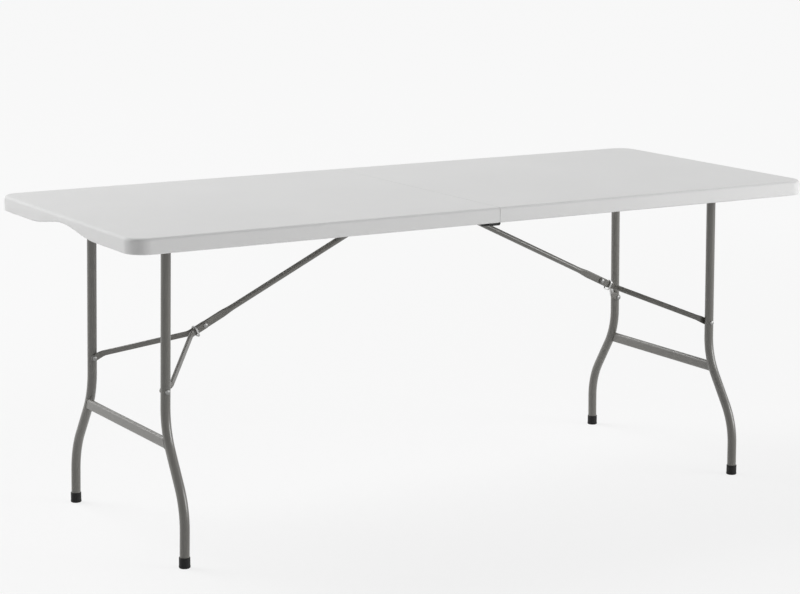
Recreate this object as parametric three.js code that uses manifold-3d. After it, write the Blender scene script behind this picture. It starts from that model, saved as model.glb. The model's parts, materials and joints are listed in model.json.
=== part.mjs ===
// Fold-in-half table with a moulded top on two folding leg frames.
// Millimetres, +Z up, +X along the table, origin on the floor under its centre.
// Each side is drawn for +X and mirrored for -X.

import * as THREE from 'three';
import { mergeVertices } from 'three/addons/utils/BufferGeometryUtils.js';
import Module from 'manifold-3d';

const wasm = await Module();
wasm.setup();

// Table top
const TABLE_LENGTH = 1800;
const TABLE_WIDTH = 740;
const TABLE_HEIGHT = 740;
const EDGE_DEPTH = 35;
const PLATE_THICKNESS = 8.5;
const SKIRT_THICKNESS = 16;
const TRAY_DRAFT = 2;
const SEAM_WALL = 7;
const SEAM_GAP = 1;
const CORNER_RADIUS = 45;
const TOP_EDGE_RADIUS = 7;
const LOWER_EDGE_RADIUS = 2;
const SEAM_EDGE_RADIUS = 1.5;
const GRIP_SPAN = 350;
const GRIP_RISE = 17.5;

// Fold hinge and side rails
const HINGE_DROP = 6.5;
const HINGE_PIN_RADIUS = 3.2;
const HINGE_EYE_RADIUS = 5.8;
const HINGE_HEAD_RADIUS = 5.4;
const HINGE_HEAD_LENGTH = 2.6;
const LEAF_THICKNESS = 3;
const LEAF_LENGTH = 66;
const LEAF_HEIGHT = 18;
const LEAF_CORNER = 6;
const RAIL_INSET = 40;
const RAIL_WIDTH = 20;
const RAIL_WALL = 2;
const RAIL_BOTTOM_DROP = 5;
const RAIL_START = 25;
const RAIL_END_INSET = 110;
const RAIL_LIP = 8;

// Leg frames
const LEG_PIVOT_INSET = 157;
const LEG_PIVOT_DEPTH = 30;
const LEG_SPLAY = 13;
const LEG_RADIUS = 11;
const LEG_WALL = 1.2;
const LEG_FOOT_INSET = 75;
const LEG_JOGGLE = 98;
const LEG_BEND_TOP = 335;
const LEG_BEND_BOTTOM = 80;
const LEG_BEND_RADIUS = 174;
const PIVOT_STUD_RADIUS = 5;
const PIVOT_STUD_PLUG = 24;
const PIVOT_BUSH_RADIUS = 9;
const PIVOT_BUSH_LENGTH = 4.4;
const PIVOT_HEAD_RADIUS = 7;
const PIVOT_HEAD_LENGTH = 2.5;
const CROSSBAR_HEIGHT = 258;
const CROSSBAR_DEPTH = 26;
const CROSSBAR_THICKNESS = 11;
const CROSSBAR_OFFSET = 4.5;
const FOOT_RADIUS = 12.8;
const FOOT_HEIGHT = 24;
const FOOT_FLOOR = 4;
const FOOT_SOLE_CHAMFER = 1.8;
const FOOT_DRAFT = 0.2;
const FOOT_BORE_CLEARANCE = 0.8;

// Folding braces
const BRACE_PIVOT_X = 20;
const BRACE_PIVOT_DEPTH = 21;
const BRACE_TUBE_RADIUS = 8;
const BRACE_TUBE_WALL = 1.5;
const YOKE_PIVOT_HEIGHT = 370;
const STRUT_RADIUS = 7;
const STRUT_EYE_RADIUS = 10.6;
const STRUT_EYE_LENGTH = 24;
const STRUT_FLAT_THICKNESS = 6;
const STRUT_FLAT_HEIGHT = 18.5;
const STRUT_FLAT_LENGTH = 45;
const STRUT_FLARE_LENGTH = 36;
const STRUT_TONGUE = 29;
const STRUT_TIP_CHAMFER = 3;
const YOKE_TAB_THICKNESS = 3;
const YOKE_TAB_HEIGHT = 16;
const YOKE_KNEE_TAB = 30;
const YOKE_LEG_TAB = 14;
const YOKE_ARM_THICKNESS = 7;
const YOKE_ARM_HEIGHT = 13.5;
const YOKE_BEND_RADIUS = 18;
const RIVET_RADIUS = 3;
const RIVET_HEAD_RADIUS = 5.5;
const RIVET_HEAD_LENGTH = 2.2;
const RIVET_SHOULDER_RADIUS = 4.4;
const RIVET_SHOULDER = 1.5;
const RING_OFFSET = 25;
const RING_LENGTH = 4;
const RING_WALL = 1.8;
const RING_INNER_WIDTH = 19;
const RING_INNER_HEIGHT = 22.8;
const RING_CORNER = 5;

// Clearances
const SEAT_GAP = 0.3;
const RUNNING_GAP = 0.4;

// Facets
const LEG_SIDES = 16;
const BORE_SIDES = 8;
const BRACE_SIDES = 12;
const TURNED_SIDES = 16;
const RIVET_SIDES = 12;
const BEND_STEPS = 6;
const CORNER_STEPS = 8;
const EDGE_STEPS = 4;
const GRIP_STEPS = 20;
const TAB_END_SHARES = [1, 0.75, 0];

// Heights and places worked out from the sizes above
const SKIRT_BOTTOM = TABLE_HEIGHT - EDGE_DEPTH;
const PLATE_BOTTOM = TABLE_HEIGHT - PLATE_THICKNESS;
const HINGE_Z = SKIRT_BOTTOM - HINGE_DROP;
const RAIL_INNER_Y = TABLE_WIDTH / 2 - RAIL_INSET;
const RAIL_END = TABLE_LENGTH / 2 - RAIL_END_INSET;
const RAIL_BOTTOM = SKIRT_BOTTOM - RAIL_BOTTOM_DROP;
const RAIL_TOP = PLATE_BOTTOM - SEAT_GAP;
const LEG_PIVOT_X = TABLE_LENGTH / 2 - LEG_PIVOT_INSET;
const LEG_PIVOT_Z = TABLE_HEIGHT - LEG_PIVOT_DEPTH;
const LEG_FOOT_Y = TABLE_WIDTH / 2 - LEG_FOOT_INSET;
const LEG_UPPER_Y = LEG_FOOT_Y - LEG_JOGGLE;
const BRACE_PIVOT_Z = TABLE_HEIGHT - BRACE_PIVOT_DEPTH;
const INNER_LEAF_Y = RAIL_INNER_Y - SEAT_GAP - LEAF_THICKNESS;
const OUTER_LEAF_Y = RAIL_INNER_Y + RAIL_WALL + SEAT_GAP;
const LEG_INNER_Y = LEG_UPPER_Y - LEG_RADIUS;

const AXIS_X = new THREE.Vector3(1, 0, 0);
const AXIS_Y = new THREE.Vector3(0, 1, 0);
const AXIS_Z = new THREE.Vector3(0, 0, 1);

const PLASTIC = { color: 0xd6d6d5, roughness: 0.55, metalness: 0 };
const COATED_STEEL = { color: 0x5a5954, roughness: 0.45, metalness: 0.3 };
const CHROME = { color: 0xd8d8d8, roughness: 0.2, metalness: 1 };
const RUBBER = { color: 0x262626, roughness: 0.8, metalness: 0 };
const NYLON = { color: 0x30302f, roughness: 0.6, metalness: 0 };

// Solids

/** Merge shared corners, drop flat triangles and turn all faces outwards. */
function closed(geometry) {
  const bare = geometry.clone();
  bare.deleteAttribute('normal');
  bare.deleteAttribute('uv');
  const merged = mergeVertices(bare, 1e-4);
  const index = merged.getIndex().array;
  const corner = (i) => new THREE.Vector3().fromBufferAttribute(merged.attributes.position, i);
  const kept = [];
  let volume = 0;
  for (let i = 0; i < index.length; i += 3) {
    const [a, b, c] = [index[i], index[i + 1], index[i + 2]];
    if (a === b || b === c || c === a) continue;
    kept.push(a, b, c);
    volume += corner(a).dot(corner(b).cross(corner(c)));
  }
  if (volume < 0) kept.reverse();
  merged.setIndex(kept);
  return merged;
}

/** Manifold solid of a closed geometry. */
function solid(geometry) {
  const mesh = closed(geometry);
  return new wasm.Manifold(new wasm.Mesh({
    numProp: 3,
    vertProperties: Float32Array.from(mesh.attributes.position.array),
    triVerts: Uint32Array.from(mesh.getIndex().array),
  }));
}

/** Geometry of a manifold solid. */
function geometryOf(manifold) {
  const mesh = manifold.getMesh();
  const geometry = new THREE.BufferGeometry();
  geometry.setAttribute('position', new THREE.BufferAttribute(Float32Array.from(mesh.vertProperties), 3));
  geometry.setIndex(Array.from(mesh.triVerts));
  return geometry;
}

/** Base geometry less each of the cutters. */
function cut(base, ...cutters) {
  return geometryOf(cutters.reduce((body, cutter) => body.subtract(solid(cutter)), solid(base)));
}

/** One geometry from pieces that run into each other. */
function joined(base, ...others) {
  return geometryOf(others.reduce((body, other) => body.add(solid(other)), solid(base)));
}

/** Closed solid through rings of equally many points, each ring convex. */
function loft(rings) {
  const count = rings[0].length;
  const points = rings.flat();
  const indices = [];
  for (let ring = 0; ring + 1 < rings.length; ring += 1) {
    for (let i = 0; i < count; i += 1) {
      const a = ring * count + i;
      const b = ring * count + ((i + 1) % count);
      indices.push(a, b, b + count, a, b + count, a + count);
    }
  }
  const last = (rings.length - 1) * count;
  const startCentre = points.length;
  points.push(middleOf(rings[0]), middleOf(rings[rings.length - 1]));
  for (let i = 0; i < count; i += 1) {
    const next = (i + 1) % count;
    indices.push(startCentre, next, i, startCentre + 1, last + i, last + next);
  }
  const geometry = new THREE.BufferGeometry().setFromPoints(points);
  geometry.setIndex(indices);
  return geometry;
}

/** Mean point of a ring. */
function middleOf(ring) {
  return ring.reduce((sum, point) => sum.add(point), new THREE.Vector3()).divideScalar(ring.length);
}

/** Ring of a rounded rectangle, which is round or oval when the corner radius fills it. */
function section({ centre, across, up, halfWidth, halfHeight, radius, sides }) {
  const ring = [];
  for (let i = 0; i < sides; i += 1) {
    const angle = ((i + 0.5) / sides) * 2 * Math.PI;
    const u = radius * Math.cos(angle) + Math.sign(Math.cos(angle)) * (halfWidth - radius);
    const v = radius * Math.sin(angle) + Math.sign(Math.sin(angle)) * (halfHeight - radius);
    ring.push(centre.clone().addScaledVector(across, u).addScaledVector(up, v));
  }
  return ring;
}

/** Turned piece along +Y from a profile of [radius, y] pairs that starts and ends on the axis. */
function turned(profile, x, z, sides = TURNED_SIDES) {
  const points = profile.map(([radius, along]) => new THREE.Vector2(radius, along));
  return new THREE.LatheGeometry(points, sides).translate(x, 0, z);
}

/** Round bar along +Y. */
function bar(radius, from, to, x, z, sides = TURNED_SIDES) {
  return turned([[0, from], [radius, from], [radius, to], [0, to]], x, z, sides);
}

/** Round tube along +Y with both ends open. */
function pipe(outer, inner, from, to, x, z) {
  return turned([[inner, from], [outer, from], [outer, to], [inner, to], [inner, from]], x, z);
}

/** Plate of an outline in X and Z, as thick as from one y to the other. */
function plate(shape, from, to) {
  const geometry = new THREE.ExtrudeGeometry(shape, {
    depth: to - from,
    bevelEnabled: false,
    curveSegments: CORNER_STEPS,
  });
  return geometry.rotateX(Math.PI / 2).translate(0, to, 0);
}

/** The same piece on the other side of x = 0 or y = 0. */
function mirrored(geometry, axis) {
  const copy = closed(geometry);
  const flip = axis === 'x' ? [-1, 1, 1] : [1, -1, 1];
  copy.scale(...flip);
  return closed(copy);
}

/**
 * Points of a bend out and back by equal arcs with a straight between them.
 * Each has its place along and across the start direction and its heading.
 */
function doubleBend(run, offset, radius) {
  const rise = offset - 2 * radius;
  const straight = Math.sqrt(run * run + rise * rise - 4 * radius * radius);
  const turn = Math.atan2(rise, run) + Math.atan2(2 * radius, straight);
  const points = [];
  for (let i = 0; i <= BEND_STEPS; i += 1) {
    const heading = (turn * i) / BEND_STEPS;
    points.push({
      along: radius * Math.sin(heading),
      across: radius * (1 - Math.cos(heading)),
      heading,
    });
  }
  const back = points.map(({ along, across, heading }) => ({
    along: run - along,
    across: offset - across,
    heading,
  }));
  return points.concat(back.reverse());
}

// Table top

/** Outline of one half of the top, drawn in from its free edges and from the seam. */
function halfOutline(z, inset, seamInset) {
  const seam = SEAM_GAP / 2 + seamInset;
  const halfWidth = TABLE_WIDTH / 2 - inset;
  const end = TABLE_LENGTH / 2 - inset;
  const radius = Math.max(CORNER_RADIUS - inset, LOWER_EDGE_RADIUS);
  const ring = [new THREE.Vector3(seam, -halfWidth, z)];
  for (const side of [-1, 1]) {
    for (let i = 0; i <= CORNER_STEPS; i += 1) {
      const angle = ((side - 1) / 2 + i / CORNER_STEPS) * (Math.PI / 2);
      const x = end - radius + radius * Math.cos(angle);
      const y = side * (halfWidth - radius) + radius * Math.sin(angle);
      ring.push(new THREE.Vector3(x, y, z));
    }
  }
  ring.push(new THREE.Vector3(seam, halfWidth, z));
  return ring;
}

/** Arched hand grip through the lower edge of the end skirt. */
function gripCutter() {
  const below = SKIRT_BOTTOM - EDGE_DEPTH;
  const shape = new THREE.Shape();
  shape.moveTo(-GRIP_SPAN / 2, below);
  for (let i = 0; i <= GRIP_STEPS; i += 1) {
    const share = i / GRIP_STEPS - 0.5;
    const rise = (GRIP_RISE / 2) * (1 + Math.cos(2 * Math.PI * share));
    shape.lineTo(GRIP_SPAN * share, SKIRT_BOTTOM + rise);
  }
  shape.lineTo(GRIP_SPAN / 2, below);
  shape.closePath();
  const overrun = SKIRT_THICKNESS / 2;
  const depth = SKIRT_THICKNESS + TRAY_DRAFT + 2 * overrun;
  const geometry = new THREE.ExtrudeGeometry(shape, { depth, bevelEnabled: false });
  const place = new THREE.Matrix4().makeBasis(AXIS_Y, AXIS_Z, AXIS_X);
  place.setPosition(TABLE_LENGTH / 2 + overrun - depth, 0, 0);
  return geometry.applyMatrix4(place);
}

/** One moulded half with its rounded rim, hollow underside and hand grip. */
function tabletopHalf() {
  const rings = [
    halfOutline(SKIRT_BOTTOM, LOWER_EDGE_RADIUS, 0),
    halfOutline(SKIRT_BOTTOM + LOWER_EDGE_RADIUS, 0, 0),
  ];
  for (let i = 0; i <= EDGE_STEPS; i += 1) {
    const angle = (Math.PI / 2) * (i / EDGE_STEPS);
    const lift = 1 - Math.sin(angle);
    const inset = 1 - Math.cos(angle);
    rings.push(halfOutline(
      TABLE_HEIGHT - TOP_EDGE_RADIUS * lift,
      TOP_EDGE_RADIUS * inset,
      SEAM_EDGE_RADIUS * inset,
    ));
  }
  const tray = loft([
    halfOutline(SKIRT_BOTTOM - EDGE_DEPTH, SKIRT_THICKNESS, SEAM_WALL),
    halfOutline(SKIRT_BOTTOM, SKIRT_THICKNESS, SEAM_WALL),
    halfOutline(PLATE_BOTTOM, SKIRT_THICKNESS + TRAY_DRAFT, SEAM_WALL),
  ]);
  return cut(loft(rings), tray, gripCutter());
}

// Side rails and fold hinge

/** Pressed rail with a flange under the plate, a lip along its foot and the leg pivot's hole. */
function rail() {
  const outer = RAIL_INNER_Y + RAIL_WIDTH;
  const shape = new THREE.Shape();
  shape.moveTo(RAIL_INNER_Y, RAIL_BOTTOM);
  shape.lineTo(RAIL_INNER_Y + RAIL_LIP, RAIL_BOTTOM);
  shape.lineTo(RAIL_INNER_Y + RAIL_LIP, RAIL_BOTTOM + RAIL_WALL);
  shape.lineTo(RAIL_INNER_Y + RAIL_WALL, RAIL_BOTTOM + RAIL_WALL);
  shape.lineTo(RAIL_INNER_Y + RAIL_WALL, RAIL_TOP - RAIL_WALL);
  shape.lineTo(outer, RAIL_TOP - RAIL_WALL);
  shape.lineTo(outer, RAIL_TOP);
  shape.lineTo(RAIL_INNER_Y, RAIL_TOP);
  shape.closePath();
  const geometry = new THREE.ExtrudeGeometry(shape, { depth: RAIL_END - RAIL_START, bevelEnabled: false });
  const place = new THREE.Matrix4().makeBasis(AXIS_Y, AXIS_Z, AXIS_X);
  place.setPosition(RAIL_START, 0, 0);
  geometry.applyMatrix4(place);
  const hole = bar(
    PIVOT_STUD_RADIUS + RUNNING_GAP,
    RAIL_INNER_Y - RAIL_WALL,
    RAIL_INNER_Y + 2 * RAIL_WALL,
    LEG_PIVOT_X,
    LEG_PIVOT_Z,
  );
  return cut(geometry, hole);
}

/** Hinge leaf: a plate on the rail's web with an arm down to the eye on the fold axis. */
function hingeLeaf(fromY) {
  const shape = new THREE.Shape();
  const bodyTop = RAIL_TOP - RAIL_WALL - RUNNING_GAP;
  const bodyBottom = bodyTop - LEAF_HEIGHT;
  const armStart = HINGE_EYE_RADIUS + 2 * SEAT_GAP + SEAM_WALL / 2;
  shape.moveTo(0, HINGE_Z - HINGE_EYE_RADIUS);
  const armEnd = RAIL_START - RUNNING_GAP;
  shape.lineTo(armEnd - HINGE_EYE_RADIUS / 2, HINGE_Z - HINGE_EYE_RADIUS);
  shape.lineTo(armEnd, HINGE_Z - HINGE_EYE_RADIUS / 2);
  shape.lineTo(armEnd, bodyBottom);
  shape.lineTo(armStart + LEAF_LENGTH, bodyBottom);
  shape.lineTo(armStart + LEAF_LENGTH, bodyTop);
  shape.lineTo(armStart + LEAF_CORNER, bodyTop);
  shape.lineTo(armStart, bodyTop - LEAF_CORNER);
  shape.lineTo(armStart, HINGE_Z + HINGE_EYE_RADIUS);
  shape.lineTo(0, HINGE_Z + HINGE_EYE_RADIUS);
  shape.absarc(0, HINGE_Z, HINGE_EYE_RADIUS, Math.PI / 2, 1.5 * Math.PI, false);
  const hole = new THREE.Path();
  hole.absarc(0, HINGE_Z, HINGE_PIN_RADIUS + SEAT_GAP, 0, 2 * Math.PI, true);
  shape.holes.push(hole);
  return plate(shape, fromY, fromY + LEAF_THICKNESS);
}

/** Headed pin through both leaves, with a collar that holds them apart. */
function hingePin() {
  const innerHead = INNER_LEAF_Y - SEAT_GAP;
  const collarStart = INNER_LEAF_Y + LEAF_THICKNESS + SEAT_GAP;
  const collarEnd = OUTER_LEAF_Y - SEAT_GAP;
  const outerHead = OUTER_LEAF_Y + LEAF_THICKNESS + SEAT_GAP;
  return turned([
    [0, innerHead - HINGE_HEAD_LENGTH],
    [HINGE_HEAD_RADIUS, innerHead - HINGE_HEAD_LENGTH],
    [HINGE_HEAD_RADIUS, innerHead],
    [HINGE_PIN_RADIUS, innerHead],
    [HINGE_PIN_RADIUS, collarStart],
    [HINGE_HEAD_RADIUS, collarStart],
    [HINGE_HEAD_RADIUS, collarEnd],
    [HINGE_PIN_RADIUS, collarEnd],
    [HINGE_PIN_RADIUS, outerHead],
    [HINGE_HEAD_RADIUS, outerHead],
    [HINGE_HEAD_RADIUS, outerHead + HINGE_HEAD_LENGTH],
    [0, outerHead + HINGE_HEAD_LENGTH],
  ], 0, HINGE_Z, RIVET_SIDES);
}

// Leg frames

/** Splay of the leg at a height, away from the table's middle. */
function legX(z) {
  return LEG_PIVOT_X + LEG_SPLAY * (1 - z / LEG_PIVOT_Z);
}

/** Bent leg as a solid bar of a radius, between two heights, on the +Y side. */
function legBar(radius, top, bottom, sides) {
  const stations = [{ z: top, y: LEG_UPPER_Y, heading: 0 }];
  const bend = doubleBend(LEG_BEND_TOP - LEG_BEND_BOTTOM, LEG_JOGGLE, LEG_BEND_RADIUS);
  for (const { along, across, heading } of bend) {
    stations.push({ z: LEG_BEND_TOP - along, y: LEG_UPPER_Y + across, heading });
  }
  stations.push({ z: bottom, y: LEG_FOOT_Y, heading: 0 });
  return loft(stations.map(({ z, y, heading }) => {
    const centre = new THREE.Vector3(legX(z), y, z);
    const across = new THREE.Vector3(0, Math.cos(heading), Math.sin(heading));
    return section({ centre, across, up: AXIS_X, halfWidth: radius, halfHeight: radius, radius, sides });
  }));
}

/** Leg tube, coped under the pivot tube and open into its foot, with the yoke rivet's hole. */
function legTube() {
  const overrun = 2 * LEG_RADIUS;
  const pivot = bar(LEG_RADIUS + SEAT_GAP, 0, TABLE_WIDTH / 2, LEG_PIVOT_X, LEG_PIVOT_Z);
  const hole = bar(
    RIVET_RADIUS + SEAT_GAP,
    LEG_INNER_Y - overrun,
    LEG_UPPER_Y + overrun,
    legX(YOKE_PIVOT_HEIGHT),
    YOKE_PIVOT_HEIGHT,
    RIVET_SIDES,
  );
  const outer = legBar(LEG_RADIUS, LEG_PIVOT_Z, FOOT_FLOOR + SEAT_GAP, LEG_SIDES);
  const bore = legBar(LEG_RADIUS - LEG_WALL, TABLE_HEIGHT, -overrun, BORE_SIDES);
  return cut(outer, pivot, bore, hole);
}

/** Tube across the top of the leg frame. */
function pivotTube() {
  const end = RAIL_INNER_Y - PIVOT_BUSH_LENGTH - 2 * SEAT_GAP;
  return pipe(LEG_RADIUS, LEG_RADIUS - LEG_WALL, -end, end, LEG_PIVOT_X, LEG_PIVOT_Z);
}

/** Stud plugged into the end of the pivot tube and riveted behind the rail's web. */
function pivotStud() {
  const tubeEnd = RAIL_INNER_Y - PIVOT_BUSH_LENGTH - 2 * SEAT_GAP;
  const plug = LEG_RADIUS - LEG_WALL - SEAT_GAP - RUNNING_GAP;
  const head = RAIL_INNER_Y + RAIL_WALL + SEAT_GAP;
  return turned([
    [0, tubeEnd - PIVOT_STUD_PLUG],
    [plug, tubeEnd - PIVOT_STUD_PLUG],
    [plug, tubeEnd],
    [PIVOT_STUD_RADIUS, tubeEnd],
    [PIVOT_STUD_RADIUS, head],
    [PIVOT_HEAD_RADIUS, head],
    [PIVOT_HEAD_RADIUS, head + PIVOT_HEAD_LENGTH],
    [0, head + PIVOT_HEAD_LENGTH],
  ], LEG_PIVOT_X, LEG_PIVOT_Z);
}

/** Spacer bush between the pivot tube and the rail. */
function pivotBush() {
  const end = RAIL_INNER_Y - SEAT_GAP;
  return pipe(
    PIVOT_BUSH_RADIUS,
    PIVOT_STUD_RADIUS + RUNNING_GAP,
    end - PIVOT_BUSH_LENGTH,
    end,
    LEG_PIVOT_X,
    LEG_PIVOT_Z,
  );
}

/** Oval bar along Y at the crossbar's place. */
function ovalBar(thickness, depth, halfLength) {
  const x = legX(CROSSBAR_HEIGHT) + CROSSBAR_OFFSET;
  return loft([-halfLength, halfLength].map((y) => section({
    centre: new THREE.Vector3(x, y, CROSSBAR_HEIGHT),
    across: AXIS_Z,
    up: AXIS_X,
    halfWidth: depth / 2,
    halfHeight: thickness / 2,
    radius: thickness / 2,
    sides: LEG_SIDES,
  })));
}

/** Flattened tube between the legs, coped to their inner sides. */
function crossbar() {
  const bend = doubleBend(LEG_BEND_TOP - LEG_BEND_BOTTOM, LEG_JOGGLE, LEG_BEND_RADIUS);
  const drop = LEG_BEND_TOP - CROSSBAR_HEIGHT;
  const after = bend.findIndex(({ along }) => along > drop);
  const [low, high] = [bend[Math.max(after - 1, 0)], bend[Math.max(after, 1)]];
  const share = (drop - low.along) / (high.along - low.along);
  const legY = LEG_UPPER_Y + low.across + share * (high.across - low.across);
  const leg = legBar(LEG_RADIUS + SEAT_GAP, LEG_PIVOT_Z, FOOT_FLOOR, LEG_SIDES);
  const outer = ovalBar(CROSSBAR_THICKNESS, CROSSBAR_DEPTH, legY - SEAT_GAP);
  const bore = ovalBar(CROSSBAR_THICKNESS - 2 * LEG_WALL, CROSSBAR_DEPTH - 2 * LEG_WALL, legY + LEG_RADIUS);
  return cut(outer, bore, leg, mirrored(leg, 'y'));
}

/** Cup-shaped foot over the end of the leg. */
function footCap() {
  const bore = LEG_RADIUS + FOOT_BORE_CLEARANCE;
  const points = [
    [0, 0],
    [FOOT_RADIUS - FOOT_SOLE_CHAMFER, 0],
    [FOOT_RADIUS, FOOT_SOLE_CHAMFER],
    [FOOT_RADIUS, FOOT_FLOOR],
    [FOOT_RADIUS - FOOT_DRAFT, FOOT_HEIGHT],
    [bore, FOOT_HEIGHT],
    [bore, FOOT_FLOOR],
    [0, FOOT_FLOOR],
  ].map(([radius, height]) => new THREE.Vector2(radius, height));
  const geometry = new THREE.LatheGeometry(points, TURNED_SIDES).rotateX(Math.PI / 2);
  return geometry.translate(legX(FOOT_HEIGHT / 2), LEG_FOOT_Y, 0);
}

/** Rivet through the leg with its round head outside. */
function legRivet() {
  const start = LEG_INNER_Y - SEAT_GAP;
  const head = LEG_UPPER_Y + LEG_RADIUS + SEAT_GAP;
  return turned([
    [0, start],
    [RIVET_RADIUS, start],
    [RIVET_RADIUS, head],
    [RIVET_HEAD_RADIUS, head],
    [RIVET_SHOULDER_RADIUS, head + RIVET_SHOULDER],
    [0, head + RIVET_HEAD_LENGTH],
  ], legX(YOKE_PIVOT_HEIGHT), YOKE_PIVOT_HEIGHT, RIVET_SIDES);
}

// Folding braces

const legPivot = new THREE.Vector3(LEG_PIVOT_X, 0, LEG_PIVOT_Z);
const bracePivot = new THREE.Vector3(BRACE_PIVOT_X, 0, BRACE_PIVOT_Z);
const yokePivot = new THREE.Vector3(legX(YOKE_PIVOT_HEIGHT), 0, YOKE_PIVOT_HEIGHT);
const braceReach = bracePivot.distanceTo(yokePivot);
const braceAlong = yokePivot.clone().sub(bracePivot).normalize();
const braceUp = AXIS_Y.clone().cross(braceAlong).negate();

/** Length of the strut for which both links of the brace lie flat with the leg put away. */
function strutLength() {
  const stowed = LEG_PIVOT_X - BRACE_PIVOT_X - legPivot.distanceTo(yokePivot);
  const drop = BRACE_PIVOT_Z - LEG_PIVOT_Z;
  return (braceReach ** 2 - stowed ** 2 - drop ** 2) / (2 * (braceReach - stowed));
}

const kneeReach = strutLength();
const yokeLength = braceReach - kneeReach;
const knee = bracePivot.clone().addScaledVector(braceAlong, kneeReach);

/** Point on the brace, as far along its line, to the side and above it as given. */
function bracePoint(along, side, above) {
  const point = bracePivot.clone().addScaledVector(braceAlong, along);
  return point.addScaledVector(AXIS_Y, side).addScaledVector(braceUp, above);
}

/** Tube across the half that the strut turns on. */
function braceTube(halfLength) {
  return pipe(
    BRACE_TUBE_RADIUS,
    BRACE_TUBE_RADIUS - BRACE_TUBE_WALL,
    -halfLength,
    halfLength,
    BRACE_PIVOT_X,
    BRACE_PIVOT_Z,
  );
}

/** Strut with an eye on the brace tube and a flattened end past the knee. */
function strut() {
  const flatStart = kneeReach - STRUT_FLAT_LENGTH;
  const end = kneeReach + STRUT_TONGUE;
  const round = { width: STRUT_RADIUS, height: STRUT_RADIUS };
  const flat = { width: STRUT_FLAT_THICKNESS / 2, height: STRUT_FLAT_HEIGHT / 2 };
  const tip = { width: flat.width, height: flat.height - STRUT_TIP_CHAMFER };
  const stations = [
    [BRACE_TUBE_RADIUS, round],
    [flatStart - STRUT_FLARE_LENGTH, round],
    [flatStart, flat],
    [end - STRUT_TIP_CHAMFER, flat],
    [end, tip],
  ];
  const shaft = loft(stations.map(([along, { width, height }]) => section({
    centre: bracePoint(along, 0, 0),
    across: braceUp,
    up: AXIS_Y,
    halfWidth: height,
    halfHeight: width,
    radius: Math.min(width, height),
    sides: BRACE_SIDES,
  })));
  const half = STRUT_EYE_LENGTH / 2;
  const eye = bar(STRUT_EYE_RADIUS, -half, half, BRACE_PIVOT_X, BRACE_PIVOT_Z);
  const bore = bar(BRACE_TUBE_RADIUS + RUNNING_GAP, -2 * half, 2 * half, BRACE_PIVOT_X, BRACE_PIVOT_Z);
  const hole = bar(RIVET_RADIUS + SEAT_GAP, -2 * half, 2 * half, knee.x, knee.z, RIVET_SIDES);
  return cut(joined(shaft, eye), bore, hole);
}

const yokeTabInner = STRUT_FLAT_THICKNESS / 2 + SEAT_GAP;
const yokeTabMiddle = yokeTabInner + YOKE_TAB_THICKNESS / 2;
const yokeTabOuter = yokeTabInner + YOKE_TAB_THICKNESS;
const yokeLegSide = LEG_INNER_Y - 2 * SEAT_GAP - YOKE_TAB_THICKNESS / 2;

/** Rivet through the knee with a round head at each side. */
function kneeRivet() {
  const head = yokeTabOuter + SEAT_GAP;
  const half = [
    [RIVET_RADIUS, head],
    [RIVET_HEAD_RADIUS, head],
    [RIVET_SHOULDER_RADIUS, head + RIVET_SHOULDER],
    [0, head + RIVET_HEAD_LENGTH],
  ];
  const other = half.map(([radius, y]) => [radius, -y]).reverse();
  return turned(other.concat(half), knee.x, knee.z, RIVET_SIDES);
}

/** Yoke arm with a flattened tab at the knee and another at the leg, on the +Y side. */
function yokeArm() {
  const tabWidth = YOKE_TAB_THICKNESS / 2;
  const tabHeight = YOKE_TAB_HEIGHT / 2;
  const armWidth = YOKE_ARM_THICKNESS / 2;
  const armHeight = YOKE_ARM_HEIGHT / 2;
  const bendEnd = yokeLength - YOKE_LEG_TAB;
  const bend = doubleBend(bendEnd - YOKE_KNEE_TAB, yokeLegSide - yokeTabMiddle, YOKE_BEND_RADIUS);
  const stations = [];
  const tabEnd = (along, side, way) => TAB_END_SHARES.map((share) => ({
    along: along - way * tabHeight * share,
    side,
    heading: 0,
    width: tabWidth,
    height: Math.max(tabHeight * Math.sqrt(1 - share * share), tabHeight / 2),
  }));
  stations.push(...tabEnd(0, yokeTabMiddle, 1));
  const fullTurn = Math.max(...bend.map(({ heading }) => heading));
  for (const { along, across, heading } of bend) {
    const share = heading / fullTurn;
    stations.push({
      along: YOKE_KNEE_TAB + along,
      side: yokeTabMiddle + across,
      heading,
      width: THREE.MathUtils.lerp(tabWidth, armWidth, share),
      height: THREE.MathUtils.lerp(tabHeight, armHeight, share),
    });
  }
  stations.push(...tabEnd(yokeLength, yokeLegSide, -1).reverse());
  const arm = loft(stations.map(({ along, side, heading, width, height }) => {
    const outward = AXIS_Y.clone().multiplyScalar(Math.cos(heading));
    outward.addScaledVector(braceAlong, -Math.sin(heading));
    return section({
      centre: bracePoint(kneeReach + along, side, 0),
      across: braceUp,
      up: outward,
      halfWidth: height,
      halfHeight: width,
      radius: Math.min(width, height),
      sides: BRACE_SIDES,
    });
  }));
  const holeRadius = RIVET_RADIUS + SEAT_GAP;
  const kneeHole = bar(holeRadius, 0, yokeTabOuter + tabHeight, knee.x, knee.z, RIVET_SIDES);
  const legHole = bar(holeRadius, yokeLegSide - tabHeight, LEG_UPPER_Y, yokePivot.x, yokePivot.z, RIVET_SIDES);
  return cut(arm, kneeHole, legHole);
}

/** Rivet in the yoke's leg tab, which ends at the leg's side. */
function yokeRivet() {
  const head = yokeLegSide - YOKE_TAB_THICKNESS / 2 - SEAT_GAP;
  return turned([
    [0, head - RIVET_HEAD_LENGTH],
    [RIVET_SHOULDER_RADIUS, head - RIVET_SHOULDER],
    [RIVET_HEAD_RADIUS, head],
    [RIVET_RADIUS, head],
    [RIVET_RADIUS, LEG_INNER_Y - 2 * SEAT_GAP],
    [0, LEG_INNER_Y - 2 * SEAT_GAP],
  ], yokePivot.x, yokePivot.z, RIVET_SIDES);
}

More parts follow.
